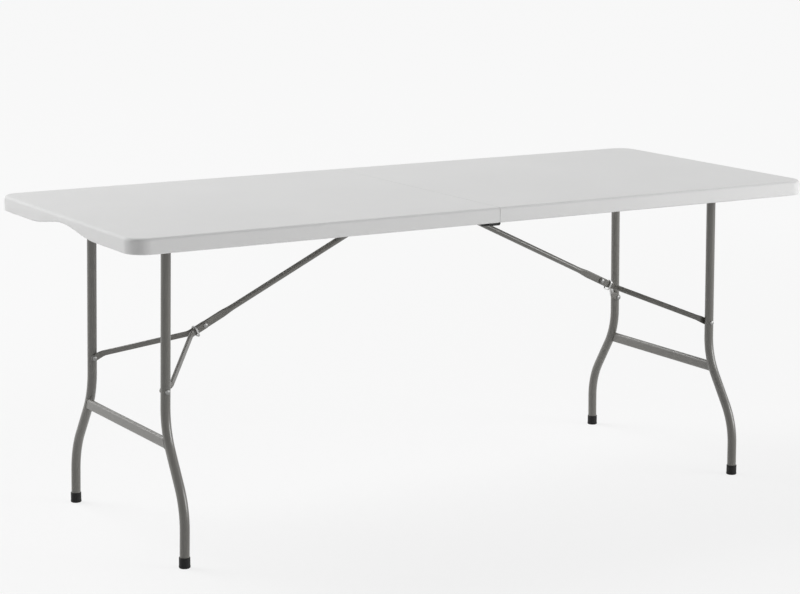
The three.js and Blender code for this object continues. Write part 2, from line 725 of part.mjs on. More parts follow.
/** Lock ring that hangs on the strut's end and holds the yoke in line. */
function lockRing() {
  const top = STRUT_FLAT_HEIGHT / 2 + SEAT_GAP;
  const middle = top - RING_INNER_HEIGHT / 2;
  const start = kneeReach + RING_OFFSET - RING_LENGTH / 2;
  const band = (grow, overrun) => loft([start - overrun, start + RING_LENGTH + overrun].map((along) => section({
    centre: bracePoint(along, 0, middle),
    across: braceUp,
    up: AXIS_Y,
    halfWidth: RING_INNER_HEIGHT / 2 + grow,
    halfHeight: RING_INNER_WIDTH / 2 + grow,
    radius: RING_CORNER + grow,
    sides: LEG_SIDES,
  })));
  return cut(band(RING_WALL, 0), band(0, RING_LENGTH));
}

// Assembly

const table = new THREE.Group();

/** Add a named piece to the table. */
function add(name, geometry, finish) {
  const mesh = new THREE.Mesh(closed(geometry), new THREE.MeshStandardMaterial(finish));
  mesh.geometry.computeVertexNormals();
  mesh.name = name;
  table.add(mesh);
}

/** Add a piece drawn for +X to the left or right. */
function addToSide(name, geometry, finish, side) {
  add(`${name}_${side}`, side === 'left' ? mirrored(geometry, 'x') : geometry, finish);
}

/** Add a piece drawn for +X and +Y at the front and the back of a side. */
function addPair(name, geometry, finish, side) {
  addToSide(`${name}_front`, mirrored(geometry, 'y'), finish, side);
  addToSide(`${name}_back`, geometry, finish, side);
}

for (const side of ['left', 'right']) {
  const leafY = side === 'left' ? INNER_LEAF_Y : OUTER_LEAF_Y;
  const tubeEnd = (side === 'left' ? INNER_LEAF_Y : RAIL_INNER_Y) - SEAT_GAP;
  addToSide('tabletop', tabletopHalf(), PLASTIC, side);
  addPair('rail', rail(), COATED_STEEL, side);
  addPair('hinge_leaf', hingeLeaf(leafY), COATED_STEEL, side);
  addToSide('brace_tube', braceTube(tubeEnd), COATED_STEEL, side);
  addPair('leg', legTube(), COATED_STEEL, side);
  addToSide('pivot_tube', pivotTube(), COATED_STEEL, side);
  addPair('pivot_stud', pivotStud(), CHROME, side);
  addPair('pivot_bush', pivotBush(), NYLON, side);
  addToSide('crossbar', crossbar(), COATED_STEEL, side);
  addPair('foot_cap', footCap(), RUBBER, side);
  addPair('leg_rivet', legRivet(), CHROME, side);
  addToSide('strut', strut(), COATED_STEEL, side);
  addToSide('knee_rivet', kneeRivet(), CHROME, side);
  addPair('yoke_arm', yokeArm(), COATED_STEEL, side);
  addPair('yoke_rivet', yokeRivet(), CHROME, side);
  addToSide('lock_ring', lockRing(), CHROME, side);
}
add('hinge_pin_front', mirrored(hingePin(), 'y'), COATED_STEEL);
add('hinge_pin_back', hingePin(), COATED_STEEL);

export default table;
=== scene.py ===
"""Looks of a fold-in-half table: moulded top, coated tube frames and bright fittings.

Sizes are in metres and angles in radians.
"""

import json
import logging
import math
from dataclasses import dataclass
from enum import Enum

import bmesh
import bpy
from mathutils import Matrix, Vector


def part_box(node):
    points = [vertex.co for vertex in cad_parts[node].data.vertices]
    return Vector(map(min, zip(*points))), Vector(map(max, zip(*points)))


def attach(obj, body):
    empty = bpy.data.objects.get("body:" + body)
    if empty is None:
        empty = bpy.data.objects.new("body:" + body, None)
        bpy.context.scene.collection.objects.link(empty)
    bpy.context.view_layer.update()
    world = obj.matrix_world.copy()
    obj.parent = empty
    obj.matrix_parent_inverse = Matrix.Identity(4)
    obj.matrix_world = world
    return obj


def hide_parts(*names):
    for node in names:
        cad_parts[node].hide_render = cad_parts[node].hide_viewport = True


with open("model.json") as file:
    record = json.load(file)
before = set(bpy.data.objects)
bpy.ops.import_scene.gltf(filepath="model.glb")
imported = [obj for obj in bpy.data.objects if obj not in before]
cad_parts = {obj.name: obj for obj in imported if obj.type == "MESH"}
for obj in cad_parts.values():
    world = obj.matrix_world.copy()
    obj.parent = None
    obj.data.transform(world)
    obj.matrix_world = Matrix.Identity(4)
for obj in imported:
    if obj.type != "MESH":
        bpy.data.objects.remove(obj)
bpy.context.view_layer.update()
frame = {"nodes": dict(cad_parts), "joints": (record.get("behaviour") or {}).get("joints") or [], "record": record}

LOG = logging.getLogger("folding_table")

Colour = tuple[float, float, float]
Place = tuple[float, float, float]
Stretch = tuple[float, float, float]
# Two distances, and the heading of a bend at that place.
Station = tuple[float, float, float]
# Pairs of radius and distance along an axis.
Profile = list[tuple[float, float]]

AXIS_X = Vector((1.0, 0.0, 0.0))
AXIS_Y = Vector((0.0, 1.0, 0.0))
AXIS_Z = Vector((0.0, 0.0, 1.0))

WHITE: Colour = (1.0, 1.0, 1.0)
EVEN_STRETCH: Stretch = (1.0, 1.0, 1.0)

MILLIMETRE = 0.001
FULL_TURN = 2.0 * math.pi
QUARTER_TURN = 0.5 * math.pi
SHARP_ANGLE = math.radians(35.0)
RIM_ANGLE = math.radians(60.0)
SAME_PLANE_ANGLE = math.radians(1.0)
PLACE_TOLERANCE = 0.05 * MILLIMETRE
ROUND_PROFILE = 0.5
KEEP_MATERIAL = -1


class Side(Enum):
    """Which half of the table a piece belongs to."""

    LEFT = "left"
    RIGHT = "right"

    @property
    def sign(self) -> float:
        """Direction of this half along X."""
        return 1.0 if self is Side.RIGHT else -1.0


class Row(Enum):
    """Which long side of the table a piece stands at."""

    FRONT = "front"
    BACK = "back"

    @property
    def sign(self) -> float:
        """Direction of this side along Y."""
        return 1.0 if self is Row.BACK else -1.0


class Grain(Enum):
    """Fine surface forms that a finish can have."""

    PEBBLE = "pebble"
    PEEL = "peel"
    DRAWN = "drawn"


# Shared shader effects


def rgba(colour: Colour) -> tuple[float, float, float, float]:
    """Return a colour with full alpha, as a socket takes it."""
    return (*colour, 1.0)


@dataclass
class SurfaceEffects:
    """Node groups that several finishes share, each built once."""

    pebble_smoothness: float = 0.6
    peel_detail: float = 1.5
    drawn_detail: float = 3.0
    drawn_stretch: Stretch = (1.0, 0.06, 1.0)
    relief_roughness: float = 0.45
    drift_detail: float = 3.0
    streak_detail: float = 5.0
    streak_distortion: float = 0.6
    streak_stretch: Stretch = (1.0, 0.35, 0.6)
    streak_start: float = 0.58
    streak_full: float = 0.72

    def __post_init__(self) -> None:
        """Build the groups."""
        self.grain: dict[Grain, bpy.types.NodeTree] = {kind: self._grain(kind) for kind in Grain}
        self.drift = self._drift()
        self.scuffs = self._scuffs()

    @staticmethod
    def _group(name: str, inputs: tuple[str, ...], output: str) -> bpy.types.NodeTree:
        """Make an empty shader group with float sockets.

        Args:
            name: Name of the group.
            inputs: Name of each input, which every finish sets.
            output: Name of the output.

        Returns:
            The group, with its input and output nodes added.
        """
        tree = bpy.data.node_groups.new(name, "ShaderNodeTree")
        for label in inputs:
            tree.interface.new_socket(label, in_out="INPUT", socket_type="NodeSocketFloat")
        tree.interface.new_socket(output, in_out="OUTPUT", socket_type="NodeSocketFloat")
        tree.nodes.new("NodeGroupInput")
        tree.nodes.new("NodeGroupOutput")
        return tree

    @staticmethod
    def _object_points(tree: bpy.types.NodeTree, stretch: Stretch) -> bpy.types.NodeSocket:
        """Add object coordinates, stretched along the axes.

        Args:
            tree: Group to add to.
            stretch: Factor on each coordinate.

        Returns:
            The socket that carries the coordinates.
        """
        points = tree.nodes.new("ShaderNodeTexCoord")
        mapping = tree.nodes.new("ShaderNodeMapping")
        mapping.inputs["Scale"].default_value = stretch
        tree.links.new(points.outputs["Object"], mapping.inputs["Vector"])
        return mapping.outputs["Vector"]

    def _grain(self, kind: Grain) -> bpy.types.NodeTree:
        """Build the fine relief of one kind of surface.

        Args:
            kind: Form of the relief.

        Returns:
            Group with a Scale input and a Height output from 0 to 1.
        """
        tree = self._group(f"grain_{kind.value}", ("Scale",), "Height")
        stretch = self.drawn_stretch if kind is Grain.DRAWN else EVEN_STRETCH
        points = self._object_points(tree, stretch)
        if kind is Grain.PEBBLE:
            relief = tree.nodes.new("ShaderNodeTexVoronoi")
            relief.feature = "SMOOTH_F1"
            relief.inputs["Smoothness"].default_value = self.pebble_smoothness
            height = relief.outputs["Distance"]
        else:
            relief = tree.nodes.new("ShaderNodeTexNoise")
            detail = self.peel_detail if kind is Grain.PEEL else self.drawn_detail
            relief.inputs["Detail"].default_value = detail
            relief.inputs["Roughness"].default_value = self.relief_roughness
            height = relief.outputs["Fac"]
        tree.links.new(points, relief.inputs["Vector"])
        tree.links.new(tree.nodes["Group Input"].outputs["Scale"], relief.inputs["Scale"])
        tree.links.new(height, tree.nodes["Group Output"].inputs["Height"])
        return tree

    def _drift(self) -> bpy.types.NodeTree:
        """Build a slow change over the surface.

        Returns:
            Group with a Scale input and a Value output from 0 to 1.
        """
        tree = self._group("slow_drift", ("Scale",), "Value")
        waves = tree.nodes.new("ShaderNodeTexNoise")
        waves.inputs["Detail"].default_value = self.drift_detail
        tree.links.new(self._object_points(tree, EVEN_STRETCH), waves.inputs["Vector"])
        tree.links.new(tree.nodes["Group Input"].outputs["Scale"], waves.inputs["Scale"])
        tree.links.new(waves.outputs["Fac"], tree.nodes["Group Output"].inputs["Value"])
        return tree

    def _scuffs(self) -> bpy.types.NodeTree:
        """Build thin rubbed streaks.

        Returns:
            Group with Scale and Amount inputs and a Mask output from 0 to 1.
        """
        tree = self._group("rubbed_streaks", ("Scale", "Amount"), "Mask")
        source = tree.nodes["Group Input"]
        waves = tree.nodes.new("ShaderNodeTexNoise")
        waves.inputs["Detail"].default_value = self.streak_detail
        waves.inputs["Distortion"].default_value = self.streak_distortion
        tree.links.new(self._object_points(tree, self.streak_stretch), waves.inputs["Vector"])
        tree.links.new(source.outputs["Scale"], waves.inputs["Scale"])
        edge = tree.nodes.new("ShaderNodeMapRange")
        edge.inputs["From Min"].default_value = self.streak_start
        edge.inputs["From Max"].default_value = self.streak_full
        tree.links.new(waves.outputs["Fac"], edge.inputs["Value"])
        scaled = tree.nodes.new("ShaderNodeMath")
        scaled.operation = "MULTIPLY"
        tree.links.new(edge.outputs["Result"], scaled.inputs[0])
        tree.links.new(source.outputs["Amount"], scaled.inputs[1])
        tree.links.new(scaled.outputs["Value"], tree.nodes["Group Output"].inputs["Mask"])
        return tree


# Finishes


@dataclass(frozen=True)
class Finish:
    """One surface finish, with its colours, gloss and relief."""

    name: str
    slot: str
    colour: Colour
    drift_colour: Colour
    scuff_colour: Colour
    grain: Grain
    grain_scale: float
    grain_depth: float
    roughness: float
    roughness_spread: float = 0.08
    metallic: float = 0.0
    specular: float = 0.5
    coat: float = 0.0
    coat_roughness: float = 0.2
    drift_scale: float = 3.0
    scuff_scale: float = 30.0
    scuff_amount: float = 0.2

    def material(self, effects: SurfaceEffects) -> bpy.types.Material:
        """Build the material.

        Args:
            effects: Shared node groups.

        Returns:
            A material on object coordinates.
        """
        material = bpy.data.materials.new(self.name)
        material.use_nodes = True
        tree = material.node_tree
        shader = tree.nodes["Principled BSDF"]
        shader.inputs["Metallic"].default_value = self.metallic
        shader.inputs["Specular IOR Level"].default_value = self.specular
        shader.inputs["Coat Weight"].default_value = self.coat
        shader.inputs["Coat Roughness"].default_value = self.coat_roughness
        drift = self._place(tree, effects.drift, {"Scale": self.drift_scale})
        scuffs = self._place(tree, effects.scuffs, {"Scale": self.scuff_scale, "Amount": self.scuff_amount})
        grain = self._place(tree, effects.grain[self.grain], {"Scale": self.grain_scale})
        base = self._mix(tree, drift.outputs["Value"], self.colour, self.drift_colour)
        worn = self._mix(tree, scuffs.outputs["Mask"], base, self.scuff_colour)
        tree.links.new(worn, shader.inputs["Base Color"])
        gloss = tree.nodes.new("ShaderNodeMapRange")
        gloss.inputs["To Min"].default_value = self.roughness - self.roughness_spread
        gloss.inputs["To Max"].default_value = self.roughness + self.roughness_spread
        tree.links.new(drift.outputs["Value"], gloss.inputs["Value"])
        tree.links.new(gloss.outputs["Result"], shader.inputs["Roughness"])
        bump = tree.nodes.new("ShaderNodeBump")
        bump.inputs["Strength"].default_value = 1.0
        bump.inputs["Distance"].default_value = self.grain_depth
        tree.links.new(grain.outputs["Height"], bump.inputs["Height"])
        tree.links.new(bump.outputs["Normal"], shader.inputs["Normal"])
        return material

    @staticmethod
    def _place(
        tree: bpy.types.NodeTree,
        group: bpy.types.NodeTree,
        values: dict[str, float],
    ) -> bpy.types.Node:
        """Place a shared group in a material.

        Args:
            tree: The material's nodes.
            group: Group to place.
            values: Values of the group's inputs.

        Returns:
            The group's node.
        """
        node = tree.nodes.new("ShaderNodeGroup")
        node.node_tree = group
        for label, value in values.items():
            node.inputs[label].default_value = value
        return node

    @staticmethod
    def _mix(
        tree: bpy.types.NodeTree,
        share: bpy.types.NodeSocket,
        first: Colour | bpy.types.NodeSocket,
        second: Colour,
    ) -> bpy.types.NodeSocket:
        """Mix two colours.

        Args:
            tree: The material's nodes.
            share: Share of the second colour.
            first: First colour, or the socket that carries it.
            second: Second colour.

        Returns:
            The socket that carries the mix.
        """
        node = tree.nodes.new("ShaderNodeMix")
        node.data_type = "RGBA"
        start, end = (socket for socket in node.inputs if socket.type == "RGBA")
        if isinstance(first, bpy.types.NodeSocket):
            tree.links.new(first, start)
        else:
            start.default_value = rgba(first)
        end.default_value = rgba(second)
        tree.links.new(share, node.inputs["Factor"])
        return next(socket for socket in node.outputs if socket.type == "RGBA")


MOULDED_WHITE = Finish(
    name="moulded_white",
    slot="top_plastic",
    colour=(0.72, 0.72, 0.717),
    drift_colour=(0.69, 0.69, 0.687),
    scuff_colour=(0.75, 0.75, 0.742),
    grain=Grain.PEBBLE,
    grain_scale=620.0,
    grain_depth=0.00022,
    roughness=0.7,
    specular=0.2,
    scuff_amount=0.10,
)
GREY_COAT = Finish(
    name="grey_powder_coat",
    slot="coated_steel",
    colour=(0.132, 0.127, 0.114),
    drift_colour=(0.114, 0.110, 0.099),
    scuff_colour=(0.165, 0.16, 0.146),
    grain=Grain.PEEL,
    grain_scale=900.0,
    grain_depth=0.00004,
    roughness=0.34,
    coat=0.5,
    scuff_scale=60.0,
    scuff_amount=0.15,
)
DARK_COAT = Finish(
    name="dark_powder_coat",
    slot="hinge_steel",
    colour=(0.024, 0.024, 0.023),
    drift_colour=(0.018, 0.018, 0.017),
    scuff_colour=(0.06, 0.06, 0.057),
    grain=Grain.PEEL,
    grain_scale=900.0,
    grain_depth=0.00012,
    roughness=0.45,
    specular=0.25,
)
BRIGHT_PLATE = Finish(
    name="bright_plate",
    slot="plated_steel",
    colour=(0.50, 0.50, 0.49),
    drift_colour=(0.42, 0.42, 0.42),
    scuff_colour=(0.34, 0.34, 0.33),
    grain=Grain.DRAWN,
    grain_scale=1400.0,
    grain_depth=0.00003,
    roughness=0.32,
    metallic=1.0,
    scuff_scale=120.0,
)
DULL_ZINC = Finish(
    name="dull_zinc",
    slot="plated_steel",
    colour=(0.29, 0.29, 0.285),
    drift_colour=(0.24, 0.24, 0.236),
    scuff_colour=(0.19, 0.19, 0.186),
    grain=Grain.PEEL,
    grain_scale=1400.0,
    grain_depth=0.00003,
    roughness=0.42,
    metallic=1.0,
    scuff_scale=120.0,
)
FOOT_BLACK = Finish(
    name="foot_black",
    slot="foot_plastic",
    colour=(0.010, 0.010, 0.010),
    drift_colour=(0.014, 0.014, 0.014),
    scuff_colour=(0.04, 0.04, 0.039),
    grain=Grain.PEBBLE,
    grain_scale=1500.0,
    grain_depth=0.00012,
    roughness=0.55,
    specular=0.2,
    scuff_scale=90.0,
    scuff_amount=0.3,
)
BUSH_NYLON = Finish(
    name="bush_nylon",
    slot="bush_plastic",
    colour=(0.03, 0.03, 0.03),
    drift_colour=(0.04, 0.04, 0.04),
    scuff_colour=(0.08, 0.08, 0.08),
    grain=Grain.PEBBLE,
    grain_scale=1800.0,
    grain_depth=0.00008,
    roughness=0.5,
)


class Wardrobe:
    """The materials of the table, one for each finish."""

    def __init__(self) -> None:
        """Build every material once."""
        effects = SurfaceEffects()
        finishes = (MOULDED_WHITE, GREY_COAT, DARK_COAT, BRIGHT_PLATE, DULL_ZINC, FOOT_BLACK, BUSH_NYLON)
        self._by_name = {finish.name: finish.material(effects) for finish in finishes}
        # Where two finishes share a slot, the later one dresses the frame's nodes.
        self._by_slot = {finish.slot: self.of(finish) for finish in finishes}

    def of(self, finish: Finish) -> bpy.types.Material:
        """Return the material of a finish."""
        return self._by_name[finish.name]

    def dress_frame(self) -> None:
        """Put the finish of its slot on every node of the frame."""
        for part in frame["record"]["subparts"]:
            slots = frame["nodes"][part["node"]].data.materials
            slots.clear()
            slots.append(self._by_slot[part["material_slot"]])


# Mesh tools


@dataclass(frozen=True)
class Piece:
    """Name, body and finish of a new piece, and the nodes it stands for."""

    name: str
    body: str
    finish: Finish
    nodes: tuple[str, ...] = ()

    def make(self, mesh: bmesh.types.BMesh, wardrobe: Wardrobe) -> bpy.types.Object:
        """Turn a finished bmesh into the piece's object.

        Args:
            mesh: Shape in the table's frame; it is freed here.
            wardrobe: Materials to dress it in.

        Returns:
            The new object, riding on its body.
        """
        bmesh.ops.remove_doubles(mesh, verts=mesh.verts, dist=PLACE_TOLERANCE)
        bmesh.ops.recalc_face_normals(mesh, faces=mesh.faces)
        data = bpy.data.meshes.new(self.name)
        mesh.to_mesh(data)
        mesh.free()
        data.shade_smooth()
        data.set_sharp_from_angle(angle=SHARP_ANGLE)
        data.materials.append(wardrobe.of(self.finish))
        solid = bpy.data.objects.new(self.name, data)
        bpy.context.scene.collection.objects.link(solid)
        even = solid.modifiers.new("even_shading", "WEIGHTED_NORMAL")
        even.keep_sharp = True
        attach(solid, self.body)
        if self.nodes:
            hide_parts(*self.nodes)
        return solid


class TubeSweep:
    """A closed bar drawn ring by ring along a path."""

    def __init__(self, sides: int) -> None:
        """Start with one ring.

        Args:
            sides: Number of sides of each ring.
        """
        self.mesh = bmesh.new()
        self._ring = bmesh.ops.create_circle(self.mesh, cap_ends=False, segments=sides, radius=1.0)["verts"]
        self._angles = [FULL_TURN * (step + 0.5) / sides for step in range(sides)]
        self._started = False

    def ring(self, centre: Vector, across: Vector, up: Vector, half_across: float, half_up: float) -> None:
        """Add a ring that is round, or flat-sided where one half size is larger.

        Args:
            centre: Middle of the ring.
            across: Unit vector of its first direction.
            up: Unit vector of its second direction.
            half_across: Half its size in the first direction.
            half_up: Half its size in the second direction.
        """
        if self._started:
            self._extrude()
        self._started = True
        radius = min(half_across, half_up)
        for vert, angle in zip(self._ring, self._angles):
            sideways = radius * math.cos(angle) + math.copysign(half_across - radius, math.cos(angle))
            upwards = radius * math.sin(angle) + math.copysign(half_up - radius, math.sin(angle))
            vert.co = centre + across * sideways + up * upwards

    def _extrude(self) -> None:
        """Extrude the last ring and go on from the new one."""
        old = list(self._ring)
        members = set(old)
        edges = [edge for edge in self.mesh.edges if edge.verts[0] in members and edge.verts[1] in members]
        made = bmesh.ops.extrude_edge_only(self.mesh, edges=edges)["geom"]
        fresh = {item for item in made if isinstance(item, bmesh.types.BMVert)}
        self._ring = []
        for vert in old:
            beside = (edge.other_vert(vert) for edge in vert.link_edges)
            self._ring.append(next(other for other in beside if other in fresh))

    def looped(self) -> bmesh.types.BMesh:
        """Join the last ring to the first, where both lie at the same place, and return the mesh."""
        bmesh.ops.remove_doubles(self.mesh, verts=self.mesh.verts, dist=PLACE_TOLERANCE)
        return self.mesh

    def closed(self, rim: float = 0.0, segments: int = 3) -> bmesh.types.BMesh:
        """Close both ends.

        Args:
            rim: Radius of the rounding at both ends.
            segments: Faces across that rounding.

        Returns:
            The finished bmesh.
        """
        made = bmesh.ops.holes_fill(self.mesh, edges=self.mesh.edges, sides=0)["faces"]
        if rim > 0.0:
            round_edges(self.mesh, [edge for face in made for edge in face.edges], rim, segments)
        return self.mesh


def round_edges(
    mesh: bmesh.types.BMesh,
    edges: list[bmesh.types.BMEdge],
    radius: float,
    segments: int,
) -> None:
    """Round edges of a mesh.

    Args:
        mesh: Mesh to change.
        edges: Edges to round.
        radius: Size of the rounding.
        segments: Faces across the rounding.
    """
    bmesh.ops.bevel(
        mesh,
        geom=list(dict.fromkeys(edges)),
        offset=radius,
        offset_type="OFFSET",
        segments=segments,
        profile=ROUND_PROFILE,
        affect="EDGES",
        material=KEEP_MATERIAL,
        clamp_overlap=True,
    )


def sharp_edges(mesh: bmesh.types.BMesh, angle: float = SHARP_ANGLE) -> list[bmesh.types.BMEdge]:
    """Return the edges whose two faces meet at more than an angle."""
    return [edge for edge in mesh.edges if edge.calc_face_angle(0.0) > angle]


def level_edges(edges: list[bmesh.types.BMEdge], height: float) -> list[bmesh.types.BMEdge]:
    """Return the edges that lie at a height."""
    return [edge for edge in edges if all(abs(vert.co.z - height) < PLACE_TOLERANCE for vert in edge.verts)]


def slice_faces(
    mesh: bmesh.types.BMesh,
    faces: list[bmesh.types.BMFace],
    place: Vector,
    normal: Vector,
) -> None:
    """Cut some faces of a mesh along a plane.

    Args:
        mesh: Mesh to change.
        faces: Faces to cut.
        place: A point of the plane.
        normal: Unit vector square to the plane.
    """
    parts = dict.fromkeys(item for face in faces for item in (face, *face.edges, *face.verts))
    bmesh.ops.bisect_plane(mesh, geom=list(parts), dist=PLACE_TOLERANCE, plane_co=place, plane_no=normal)


def merge_into(target: bmesh.types.BMesh, other: bmesh.types.BMesh) -> None:
    """Add one bmesh to another and free it.

    Args:
        target: Mesh that grows.
        other: Mesh to add.
    """
    data = bpy.data.meshes.new("merge_scratch")
    other.to_mesh(data)
    other.free()
    target.from_mesh(data)
    bpy.data.meshes.remove(data)


def straight_bar(
    centre: Vector,
    ends: tuple[float, float],
    half_depth: float,
    half_thickness: float,
    sides: int,
    rim: float = 0.0,
) -> bmesh.types.BMesh:
    """Draw a bar along Y, round or flat-sided.

    Args:
        centre: A point of its middle line.
        ends: Y of both ends.
        half_depth: Half its size along Z.
        half_thickness: Half its size along X.
        sides: Number of sides of the bar.
        rim: Radius of the rounding at both ends.

    Returns:
        The closed bar.
    """
    sweep = TubeSweep(sides)
    for y in ends:
        sweep.ring(Vector((centre.x, y, centre.z)), AXIS_Z, AXIS_X, half_depth, half_thickness)
    return sweep.closed(rim)


def weld_bead(path: list[Vector], radius: float, sides: int = 8) -> bmesh.types.BMesh:
    """Draw a weld bead round a closed path.

    Args:
        path: Points of the path, the first not repeated.
        radius: Radius of the bead.
        sides: Number of sides of the bead.

    Returns:
        The bead as a closed loop.
    """
    sweep = TubeSweep(sides)
    count = len(path)
    middle = sum(path, Vector()) / count
    for index in range(count + 1):
        here = path[index % count]
        ahead = (path[(index + 1) % count] - path[index - 1]).normalized()
        out = here - middle
        out = (out - ahead * out.dot(ahead)).normalized()
        sweep.ring(here, out, ahead.cross(out), radius, radius)
    return sweep.looped()


def turned(profile: Profile, axis: Vector, place: Vector, steps: int = 40) -> bmesh.types.BMesh:
    """Turn a profile about an axis.

    Args:
        profile: Pairs of radius and distance along the axis.
        axis: Unit vector of the axis.
        place: Point of the axis at distance 0.
        steps: Number of faces round the piece.

    Returns:
        A closed mesh where the profile starts and ends on the axis or closes on itself.
    """
    mesh = bmesh.new()
    side = axis.orthogonal().normalized()
    verts = [mesh.verts.new(place + side * radius + axis * along) for radius, along in profile]
    edges = [mesh.edges.new(pair) for pair in zip(verts, verts[1:])]
    bmesh.ops.spin(
        mesh,
        geom=verts + edges,
        cent=place,
        axis=axis,
        dvec=(0.0, 0.0, 0.0),
        angle=FULL_TURN,
        steps=steps,
        use_merge=True,
        use_normal_flip=False,
        use_duplicate=False,
    )
    bmesh.ops.remove_doubles(mesh, verts=mesh.verts, dist=PLACE_TOLERANCE)
    return mesh


def softened(node: str, radius: float, segments: int = 2) -> bmesh.types.BMesh:
    """Copy a node of the frame with its sharp edges rounded.

    Args:
        node: Name of the node.
        radius: Size of the rounding.
        segments: Faces across the rounding.

    Returns:
        The softened copy.
    """
    mesh = bmesh.new()
    mesh.from_mesh(frame["nodes"][node].data)
    bmesh.ops.remove_doubles(mesh, verts=mesh.verts, dist=PLACE_TOLERANCE)
    bmesh.ops.dissolve_limit(mesh, angle_limit=SAME_PLANE_ANGLE, verts=mesh.verts, edges=mesh.edges)
    round_edges(mesh, sharp_edges(mesh), radius, segments)
    return mesh


def joint_place(name: str) -> Vector:
    """Return the pivot of a joint at rest."""
    joint = next(item for item in frame["joints"] if item["name"] == name)
    return Vector(joint["pos_m"])


def node_box(name: str) -> tuple[Vector, Vector]:
    """Return the lowest and highest corner of a node."""
    low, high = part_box(name)
    return Vector(low), Vector(high)


def double_bend(run: float, offset: float, radius: float, steps: int) -> list[Station]:
    """Work out a bend out and back by equal arcs with a straight between.

    Args:
        run: Length of the bend along its start direction.
        offset: Distance across that it moves.
        radius: Radius of both arcs.
        steps: Number of steps in each arc.

    Returns:
        Distance along, distance across and heading of each station.
    """
    rise = offset - 2.0 * radius
    straight = math.sqrt(run * run + rise * rise - 4.0 * radius * radius)
    turn = math.atan2(rise, run) + math.atan2(2.0 * radius, straight)
    first = []
    for step in range(steps + 1):
        heading = turn * step / steps
        first.append((radius * math.sin(heading), radius * (1.0 - math.cos(heading)), heading))
    second = [(run - along, offset - across, heading) for along, across, heading in reversed(first)]
    return first + second


def eased(share: float) -> float:
    """Return a share from 0 to 1 that starts and ends without a kink."""
    return share * share * (3.0 - 2.0 * share)


# Rivets and screws


@dataclass(frozen=True)
class HeadedPin:
    """A rivet or screw with a domed head, which may have a recess for a driver."""

    head_radius: float
    head_height: float
    shank_radius: float
    recess_radius: float = 0.0
    recess_depth: float = 0.0
    rim_share: float = 0.25
    dome_steps: int = 6

    def head(self, seat: float) -> Profile:
        """Work out the head, from the edge under it to its middle.

        Args:
            seat: Distance along the axis at which the head begins.

        Returns:
            Pairs of radius and distance along.
        """
        rim = self.rim_share * self.head_height
        last = math.acos(self.recess_radius / self.head_radius)
        outline = [(self.shank_radius, seat), (self.head_radius, seat)]
        for step in range(self.dome_steps + 1):
            angle = last * step / self.dome_steps
            rise = rim + (self.head_height - rim) * math.sin(angle)
            outline.append((self.head_radius * math.cos(angle), seat + rise))
        if self.recess_depth > 0.0:
            floor = seat + self.head_height - self.recess_depth
            outline += [(self.recess_radius, floor), (0.0, floor)]
        return outline

    def one_head(self, length: float) -> Profile:
        """Return the outline of a pin that has its head at the far end."""
        return [(0.0, 0.0), (self.shank_radius, 0.0), *self.head(length - self.head_height)]

    def two_heads(self, grip: float) -> Profile:
        """Return the outline of a pin with a head at each side of what it grips."""
        one = self.head(grip / 2.0)
        return [(radius, -along) for radius, along in reversed(one)] + one

    def in_node(self, node: str, facing: float) -> bmesh.types.BMesh:
        """Turn a pin with one head that is as long as a node.

        Args:
            node: Name of the node that the pin stands for.
            facing: 1 where the head faces the back of the table, -1 where it faces the front.

        Returns:
            The pin along Y.
        """
        low, high = node_box(node)
        start = low.y if facing > 0.0 else high.y
        place = Vector(((low.x + high.x) / 2.0, start, (low.z + high.z) / 2.0))
        return turned(self.one_head(high.y - low.y), AXIS_Y * facing, place)


FRAME_RIVET = HeadedPin(head_radius=0.0055, head_height=0.0022, shank_radius=0.003)
RAIL_SCREW = HeadedPin(
    head_radius=0.0042,
    head_height=0.0022,
    shank_radius=0.0019,
    recess_radius=0.0013,
    recess_depth=0.0014,
)


# Table top


